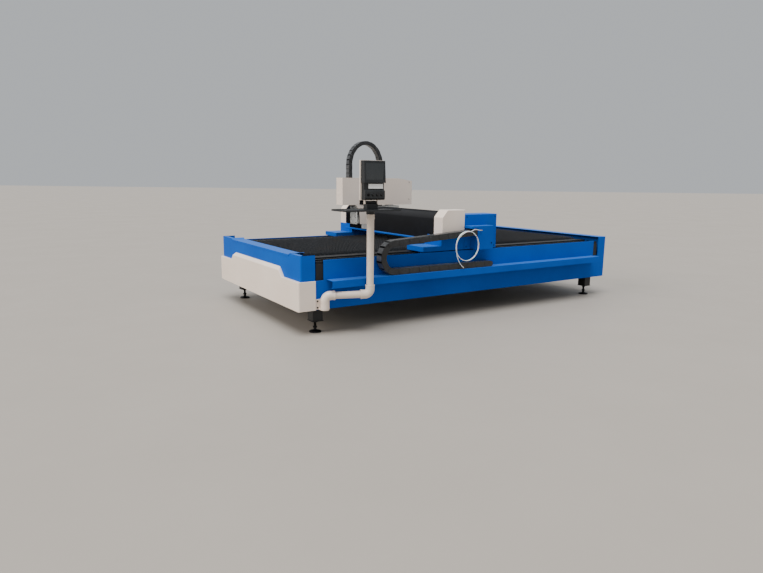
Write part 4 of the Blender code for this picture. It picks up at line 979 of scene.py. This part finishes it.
def gantry_blocks():
    """Blue drive housings with the apron that hangs over the saddle."""
    top = 1.21
    apron = 0.797
    for side, sign in both():
        low_y, high_y = span(sign, HALF - 0.24, HALF)
        outer = sign * HALF
        bm = bmesh.new()
        block(bm, (BLOCK_FRONT, low_y, BLOCK_LOW), (BACK, high_y, top))
        open_up(bm, (0, 0, -1))
        lower = [edge for edge in bm.edges
                 if all(abs(v.co.z - BLOCK_LOW) < 1e-5 and abs(v.co.y - outer) < 1e-5 for v in edge.verts)]
        hem = new_verts(bmesh.ops.extrude_edge_only(bm, edges=lower))
        bmesh.ops.translate(bm, vec=(0, 0, apron - BLOCK_LOW), verts=hem)
        soften(bm, 0.006, 3, 60)
        piece("drive_housing_" + side, bm, BLUE, "gantry", ("block_" + side,), wall=SHEET)
        bm = bmesh.new()
        for x in (BLOCK_FRONT + 0.03, BACK - 0.03):
            for z in (0.825, 1.18):
                screw(bm, (x, outer, z), (0, sign, 0), 0.007, 0.003)
        piece("housing_screws_" + side, bm, OXIDE, "gantry")


def end_covers():
    """White caps over the beam's ends, with one broad chamfer, on their blue risers."""
    back = BLOCK_FRONT - GAP
    top = 1.266
    seam = RISER_TOP + 0.0008
    for side, sign in both():
        low_y, high_y = span(sign, HALF - 0.155, HALF)
        bm = bmesh.new()
        block(bm, (GANTRY, low_y, BLOCK_LOW), (back, high_y, RISER_TOP))
        open_up(bm, (0, 0, -1), (0, -sign, 0))
        soften(bm, 0.003, 2, 20)
        piece("end_riser_" + side, bm, BLUE, "gantry", wall=SHEET)
        bm = bmesh.new()
        outline = [(GANTRY, seam), (back, seam), (back, top), (GANTRY + 0.075, top), (GANTRY, top - 0.086)]
        slab(bm, outline, "Y", sign * (HALF - 0.155), sign * HALF)
        open_up(bm, (0, 0, -1), (0, -sign, 0))
        soften(bm, 0.007, 3, 20)
        piece("end_cover_shell_" + side, bm, CREAM, "gantry", ("end_cover_" + side,), wall=SHEET)


def chain_bracket():
    """Bracket that the long chain ends on, with its two screws."""
    dressed("chain_bracket", BLUE, 0.004, 3)
    bm = bmesh.new()
    for x in (BLOCK_FRONT + 0.125, BLOCK_FRONT + 0.315):
        screw(bm, (x, BRACKET_FACE, 0.872), (0, -1, 0), 0.009, 0.004)
    piece("bracket_screws", bm, OXIDE, "gantry")


def ranked(verts, guide):
    """Vertices in the order of the guide's vertices that they lie on."""
    def rank(vert):
        return min(range(len(guide)), key=lambda index: (vert.co - guide[index].co).length)

    return sorted(verts, key=rank)


def bellows(name, start, end, pleats):
    """Pleated cloth over the beam, sewn to follow its section, with stiffened ridges."""
    low = 0.9166
    front = GANTRY + 0.02
    back = GANTRY + 0.333
    top = 1.235
    shoulder = 1.165
    fold = 0.014
    cloth = 0.0015

    def section(inset):
        """Outline over the beam, from the front's lower edge to the back's."""
        return [
            (front + inset, low), (front + inset, shoulder - 0.012),
            (front + inset + 0.004, shoulder - inset * 0.4),
            (front + 0.050 + inset * 0.4, top - inset - 0.003), (front + 0.064, top - inset),
            (back - 0.060, top - inset), (back - 0.046 - inset * 0.3, top - inset - 0.004),
            (back - inset, top - 0.052 - inset * 0.4), (back - inset, low),
        ]

    bm = bmesh.new()
    rows = 4 * pleats
    verts = [bm.verts.new((x, start, z)) for x, z in section(0.0)]
    edges = [bm.edges.new(pair) for pair in zip(verts, verts[1:])]
    last = verts
    for row in range(1, rows + 1):
        grown = bmesh.ops.extrude_edge_only(bm, edges=edges)
        edges = [item for item in grown["geom"] if isinstance(item, bmesh.types.BMEdge)
                 and abs(item.verts[0].co.y - item.verts[1].co.y) < 1e-7
                 and item.verts[0] in grown["geom"] and item.verts[1] in grown["geom"]]
        depth = (0.0, fold / 2, fold, fold / 2)[row % 4]
        ordered = ranked(new_verts(grown), last)
        for vert, (x, z) in zip(ordered, section(depth)):
            vert.co = (x, start + (end - start) * row / rows, z)
        last = ordered
    bmesh.ops.recalc_face_normals(bm, faces=bm.faces)
    upper = max(bm.faces, key=lambda face: face.calc_center_median().z)
    if upper.normal.z < 0:
        bmesh.ops.reverse_faces(bm, faces=bm.faces)
    bmesh.ops.solidify(bm, geom=list(bm.faces), thickness=cloth)
    obj = piece(name + "_pleated", bm, CLOTH, None, (name,), crisp=75, weighted=False)
    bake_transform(obj)


def gantry_parts():
    """Everything that rides on the gantry, apart from the chains and the hose."""
    dressed("beam", BLUE, 0.002)
    dressed("beam_flange", BLUE, 0.002)
    saddles()
    gantry_blocks()
    end_covers()
    chain_bracket()
    block_face = HALF - 0.1555
    bellows("bellows_near", -block_face, NEAR - 0.001, 64)
    bellows("bellows_far", FAR + 0.001, block_face, 40)


# Energy chains

def links(length, link):
    """Whole number of links nearest to a length."""
    return max(1, round(length / link))


def link_plate(reach, radius, segments=6):
    """Side view of a link's plate: round ends about its two pins."""
    points = []
    for centre, first in ((reach, -90), (-reach, 90)):
        for step in range(segments + 1):
            angle = math.radians(first + 180 * step / segments)
            points.append((centre + math.cos(angle) * radius, math.sin(angle) * radius))
    return points


def chain_run(name, path, length, link, wide, thick, across, first, lidded):
    """Run of energy-chain links along a path: side plates that overlap at their pins, and lids.

    path(share) gives a place and the direction away from the bend's centre; across is the
    direction of the links' width. Plates lie outside and inside by turns, on from first."""
    count = links(length, link)
    real = length / count
    sides_mesh = bmesh.new()
    lids_mesh = bmesh.new()
    outline = link_plate(real * 0.5, thick / 2 - 0.0012)
    plate = 0.0034
    tuck = 0.0038
    lid = 0.0036
    clear = 0.0085
    lid_half = real * (0.455 if lidded else 0.30)
    for index in range(count):
        place, outward = path((index + 0.5) / count)
        along = (path((index + 0.98) / count)[0] - path((index + 0.02) / count)[0]).normalized()
        turn = Matrix((along, across, outward)).transposed()
        if turn.determinant() < 0:
            turn = Matrix((along, -across, outward)).transposed()
        made = []
        inner = (index + first) % 2 == 1
        for sign in (-1, 1):
            outer = wide / 2 - (tuck if inner else 0.0)
            made += slab(sides_mesh, outline, "Y", sign * (outer - plate), sign * outer)
            if not inner:
                for end in (-0.5, 0.5):
                    made += bar(sides_mesh, (end * real, sign * (wide / 2 - 0.002), 0),
                                (end * real, sign * (wide / 2 + 0.0006), 0), thick * 0.17, 12)
        bmesh.ops.rotate(sides_mesh, matrix=turn, verts=made)
        bmesh.ops.translate(sides_mesh, vec=place, verts=made)
        lids = []
        for level in ((lid - thick) / 2, (thick - lid) / 2):
            lids += block(lids_mesh, (-lid_half, clear - wide / 2, level - lid / 2),
                          (lid_half, wide / 2 - clear, level + lid / 2))
        bmesh.ops.rotate(lids_mesh, matrix=turn, verts=lids)
        bmesh.ops.translate(lids_mesh, vec=place, verts=lids)
    soften(sides_mesh, 0.0010, 1, 60)
    soften(lids_mesh, 0.0012, 2, 60)
    # The lids take the paler nylon copy, a painted highlight on the chain's outer faces.
    return (piece(name + "_links", sides_mesh, NYLON, None),
            piece(name + "_lids", lids_mesh, NYLON_LID_PAINTED_HIGHLIGHT, None))


def whole_chain(stands_for, runs, link, wide, thick, across, lidded=True):
    """Runs of one chain, each built as links and lids in place."""
    first = 0
    for index, (name, (path, length), start, finish) in enumerate(runs):
        made = chain_run(name, path, length, link, wide, thick, across, first, lidded)
        first += links(length, link)
        for obj in made:
            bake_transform(obj)
        if index == 1:
            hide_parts(stands_for)


def straight(start, end, outward):
    """Straight run between two points, and its length."""
    start = Vector(start)
    end = Vector(end)
    outward = Vector(outward).normalized()

    def path(share):
        return start.lerp(end, share), outward

    return path, (end - start).length


def half_turn(centre, radius, start_angle, sweep, u, v, stretch=1.0):
    """Arc about a centre in the plane of u and v, and its length."""
    u = Vector(u)
    v = Vector(v)

    def path(share):
        angle = start_angle + sweep * share
        spot = Vector(centre) + u * math.cos(angle) * radius + v * math.sin(angle) * radius * stretch
        outward = (u * math.cos(angle) * stretch + v * math.sin(angle)).normalized()
        return spot, outward

    return path, abs(sweep) * radius * (1 + stretch) / 2


def long_chain():
    """Chain along the bed: the lower run lies on the shelf, a half turn leads up from it, and the upper run
    climbs to the bracket."""
    y = -HALF - 0.07
    far_off = 50
    start = 2.47
    bend = 1.08
    radius = 0.155
    low = 0.6183
    high = low + 2 * radius
    end = Vector((BLOCK_FRONT + 0.0977, y, high + 0.076))
    rise_to = end - Vector((bend, y, high))
    runs = (
        ("x_chain_lower", straight((start, y, low), (bend, y, low), (0, 0, -1)),
         (start, y, 0.6), (2 * bend - start, y, 0.6)),
        ("x_chain_bend",
         half_turn((bend, y, low + radius), radius, -math.pi / 2, -math.pi, (1, 0, 0), (0, 0, 1)),
         (bend, y - far_off, 0.7), (bend, y + far_off, 0.7)),
        ("x_chain_upper", straight((bend, y, high), end, (-rise_to.z, 0, rise_to.x)),
         (2 * bend - end.x, y, 1.0), (end.x, y, 1.0)),
    )
    whole_chain("x_chain", runs, 0.070, 0.11, 0.07, Vector((0, 1, 0)))


def cross_chain():
    """Small chain behind the beam, from the centre line over to the carriage."""
    x = GANTRY + 0.40
    far_off = 50
    low = 0.9341
    radius = 0.0875
    high = low + 2 * radius
    bend = NEAR + 0.30
    foot = NEAR + 0.12
    runs = (
        ("y_chain_lower", straight((x, 0.0, low), (x, bend, low), (0, 0, -1)),
         (x, 0.0, 1.0), (x, 2 * bend, 1.0)),
        ("y_chain_bend",
         half_turn((x, bend, low + radius), radius, -math.pi / 2, math.pi, (0, 1, 0), (0, 0, 1)),
         (x - far_off, bend, 1.0), (x + far_off, bend, 1.0)),
        ("y_chain_upper", straight((x, bend, high), (x, foot, high), (0, 0, 1)),
         (x, 2 * bend - foot, 1.0), (x, foot, 1.0)),
    )
    whole_chain("y_chain", runs, 0.044, 0.08, 0.035, Vector((1, 0, 0)), False)


def arched_chain():
    """Tall arch from the vertical slide, over the cover and down behind it."""
    wide = 0.092
    thick = 0.052
    radius = 0.2445
    front = CARRIAGE + 0.125 + thick / 2
    rear = front + 2 * radius
    spring = 1.8005
    ends = ((front, MIDDLE, 1.8), (rear, MIDDLE, 1.8))
    runs = (
        ("z_chain_front", straight((front, MIDDLE, 1.3003), (front, MIDDLE, spring), (-1, 0, 0)), *ends),
        ("z_chain_arch",
         half_turn((front + radius, MIDDLE, spring), radius, math.pi, -math.pi, (1, 0, 0), (0, 0, 1), 1.2),
         *ends),
        ("z_chain_rear", straight((rear, MIDDLE, spring), (rear, MIDDLE, 1.2453), (1, 0, 0)), *ends),
    )
    whole_chain("z_chain", runs, 0.058, wide, thick, Vector((0, 1, 0)))


# Carriage

def carriage_cover():
    """White cover with its stem, its door on two hinges, the door's pull and the screws."""
    dressed("carriage_cover", CREAM, 0.0014, 2, above=STEM_LOW)
    dressed("carriage_door", CREAM, 0.0014, 2)
    hinges = (1.302, 1.566)
    half = 0.034
    face = NEAR - 0.0052
    back = NEAR - 0.0030
    for name, body, leaf, holes in (
            ("hinge_fixed_leaves", "carriage", (0.0012, 0.047), (0.016, 0.036)),
            ("hinge_door_leaves", "door", (-0.048, -0.0062), (-0.040, -0.020))):
        bm = bmesh.new()
        for height in hinges:
            block(bm, (SEAM + leaf[0], face, height - half), (SEAM + leaf[1], back, height + half))
            for dz in (-0.020, 0.020):
                for dx in holes:
                    screw(bm, (SEAM + dx, face, height + dz), (0, -1, 0), 0.0042, 0.0015)
        soften(bm, 0.0006, 1, 60)
        if body == "carriage":
            pin_half = Vector((0, 0, half + 0.0022))
            for height in hinges:
                pin = Vector((SEAM - 0.0005, NEAR - 0.005, height))
                bar(bm, pin - pin_half, pin + pin_half, 0.0048, 16)
        piece(name, bm, OXIDE, body)
    bm = bmesh.new()
    block(bm, (CARRIAGE - 0.0016, MIDDLE - 0.040, 1.398), (CARRIAGE + 0.001, MIDDLE + 0.040, 1.424))
    soften(bm, 0.0007, 1)
    piece("door_pull", bm, CREAM, "door")
    bm = bmesh.new()
    for x in (1.849, CARRIAGE + 1.09):
        for z in (1.335, 1.575):
            screw(bm, (x, NEAR, z), (0, -1, 0), 0.006, 0.003)
    piece("cover_screws", bm, OXIDE, "carriage")


def vertical_axis():
    """Carriage plate, axis housing and the tool plate with its screws."""
    dressed("carriage_plate", ALLOY, 0.0008, 1)
    dressed("z_housing", ALLOY, 0.001, 1, above=STEM_LOW + 0.004)
    dressed("z_plate", ALLOY, 0.0008, 1, above=STEM_LOW)
    face = CARRIAGE + 0.215
    bm = bmesh.new()
    for y in (MIDDLE - 0.068, MIDDLE + 0.068):
        for z in (1.02, 1.09, 1.16, 1.23):
            screw(bm, (face, y, z), (-1, 0, 0), 0.0055, 0.004)
    piece("tool_plate_screws", bm, OXIDE, "z_slide")


# Console

def elbow_points(corner, into, out, bend, count=10):
    """Points round a pipe's corner, from the direction into it to the one out of it."""
    centre = corner - into * bend + out * bend
    angles = [math.pi / 2 * step / count for step in range(count + 1)]
    return [centre + into * bend * math.sin(angle) - out * bend * math.cos(angle) for angle in angles]


def add_pipe(bm, points, radius):
    """Add a pipe with filled caps to a mesh."""
    holder = tube("pipe_run", points, radius, 10)
    mesh = bpy.data.meshes.new_from_object(holder.evaluated_get(bpy.context.evaluated_depsgraph_get()))
    bpy.data.objects.remove(holder, do_unlink=True)
    bm.from_mesh(mesh)
    bpy.data.meshes.remove(mesh)


def pipe_arm():
    """Swing arm in painted pipe: two elbows with thick sockets and a collar under the head."""
    up = Vector((0, 0, 1))
    foot = Vector((ARM_X, -1.270, 0))
    along = (POST - foot).normalized()
    level = up * 0.425
    bend = 0.055
    pipe = 0.038
    socket = 0.048
    bead = 0.016
    low = foot + up * 0.2877
    first = foot + level
    last = POST + level
    inner = 0.09
    bm = bmesh.new()
    add_pipe(bm, [first + along * inner, last - along * inner], pipe)
    add_pipe(bm, [last + up * inner, POST + up * 1.2548], pipe)
    add_pipe(bm, [low] + elbow_points(first, up, along, bend) + [first + along * 0.105], socket)
    add_pipe(bm, [last - along * 0.105] + elbow_points(last, along, up, bend) + [last + up * 0.100], socket)
    bmesh.ops.remove_doubles(bm, verts=bm.verts, dist=0.00001)
    soften(bm, 0.0035, 3, 60)
    for start, way in ((low, up), (first + along * 0.105, -along), (last - along * 0.105, along),
                       (last + up * 0.100, -up)):
        made = bar(bm, start, start + way * bead, socket + 0.0018, 32)
        soften(bm, 0.002, 2, 60, made)
    piece("console_arm", bm, PIPE, "arm", ("arm",), crisp=40)
    bm = bmesh.new()
    collar = 0.0425
    made = bar(bm, POST + up * 1.205, POST + up * 1.2546, collar, 32)
    soften(bm, 0.003, 3, 60, made)
    for degrees in (200, 290):
        angle = math.radians(degrees)
        way = Vector((math.cos(angle), math.sin(angle), 0))
        screw(bm, POST + up * 1.23 + way * (collar - 0.0005), way, 0.0045, 0.003)
    piece("arm_collar", bm, PIPE, "arm", crisp=40)


def tray():
    """Keyboard tray with a thin raised lip."""
    dressed("console_tray", CHARCOAL, 0.0012, 2)
    left = POST.x - 0.40
    right = POST.x + 0.25
    near = POST.y - 0.19
    far = POST.y + 0.10
    top = 1.304
    lip = 0.0025
    bm = bmesh.new()
    for low_x, low_y, high_x, high_y in ((left, near, right, near + lip), (left, far - lip, right, far),
                                         (left, near, left + lip, far), (right - lip, near, right, far)):
        block(bm, (low_x, low_y, top - 0.001), (high_x, high_y, top + 0.006))
    soften(bm, 0.0006, 1)
    piece("tray_lip", bm, CHARCOAL, "console_mount")


def console():
    """Back plate, monitor, button box, blank plate, screws and push buttons."""
    dressed("console_back", CREAM, 0.0016, 2)
    dressed("monitor", CHARCOAL, 0.0025, 3)
    dressed("control_box", CHARCOAL, 0.0016, 2)
    x = POST.x
    back = POST.y - 0.0123
    bm = bmesh.new()
    block(bm, (x - 0.1065, back - 0.0643, 1.6005), (x + 0.1065, back - 0.0623, 1.7655))
    piece("screen", bm, GLASS, "console_head")
    bm = bmesh.new()
    block(bm, (x - 0.068, back - 0.0548, 1.515), (x + 0.104, back - 0.0529, 1.561))
    soften(bm, 0.0006, 2)
    piece("blank_plate", bm, PLATE, "console_head")
    bm = bmesh.new()
    plate_face = back - 0.0497
    box_face = back - 0.0715
    for dx, face, z in ((-0.107, plate_face, 1.5385), (0.1125, plate_face, 1.5385), (-0.108, box_face, 1.43),
                        (0.108, box_face, 1.43), (-0.108, box_face, 1.482), (0.108, box_face, 1.482)):
        screw(bm, (x + dx, face, z), (0, -1, 0), 0.003, 0.002)
    piece("console_screws", bm, OXIDE, "console_head")

    bezel = [(0.0118, 0.0), (0.0160, 0.0), (0.0164, 0.0010), (0.0150, 0.0028), (0.0126, 0.0030),
             (0.0118, 0.0022), (0.0118, 0.0)]
    cap = [(0.0, 0.0), (0.0070, 0.0), (0.0084, -0.0006), (0.0098, 0.0), (0.0108, -0.0010), (0.011, -0.0024),
           (0.011, -0.025), (0.0, -0.025)]
    places = [x - 0.078 + index * 0.052 for index in range(4)]
    height = 1.455
    bm = bmesh.new()
    for place in places:
        turned(bm, bezel, (place, back - 0.072, height), 24, "Y")
    piece("button_bezels", bm, OXIDE, "console_head")
    for index, place in enumerate(places):
        bm = bmesh.new()
        turned(bm, cap, (place, back - 0.083, height), 24, "Y")
        button = "button_{}".format(index + 1)
        piece("button_cap_{}".format(index + 1), bm, RUBBER if index else OXIDE, button, (button,))


# Studio

def studio():
    """Pale floor, even sky light and two soft suns."""
    bm = bmesh.new()
    bmesh.ops.create_grid(bm, x_segments=1, y_segments=1, size=150.0)
    mesh = bpy.data.meshes.new("floor")
    bm.to_mesh(mesh)
    bm.free()
    mesh.materials.append(polished_floor("pale_floor"))
    floor = bpy.data.objects.new("floor", mesh)
    bpy.context.scene.collection.objects.link(floor)
    world = bpy.data.worlds.new("studio")
    world.use_nodes = True
    sky = world.node_tree.nodes["Background"]
    sky.inputs["Color"].default_value = linear("#E4E8EC")
    sky.inputs["Strength"].default_value = 0.66
    bpy.context.scene.world = world
    for name, toward, tint, strength, softness in (
            ("skylight", (-0.25, -0.24, 1.0), "#FFFFFF", 3.6, 40.0),
            ("window_wall", (-1.0, 0.12, 0.42), "#FFF4E8", 1.95, 30.0)):
        light = bpy.data.lights.new(name, "SUN")
        light.color = linear(tint)[:3]
        light.energy = strength
        light.angle = math.radians(softness)
        obj = bpy.data.objects.new(name, light)
        bpy.context.scene.collection.objects.link(obj)
        obj.matrix_world = (-Vector(toward)).to_track_quat("-Z", "Y").to_matrix().to_4x4()


camera()
air_hose()
blue_front_cover()
white_front_cover()
rear_cover()
side_panels()
shelf()
ways()
slats()
feet()
frame_parts()
gantry_parts()
long_chain()
cross_chain()
arched_chain()
carriage_cover()
vertical_axis()
pipe_arm()
tray()
console()
studio()
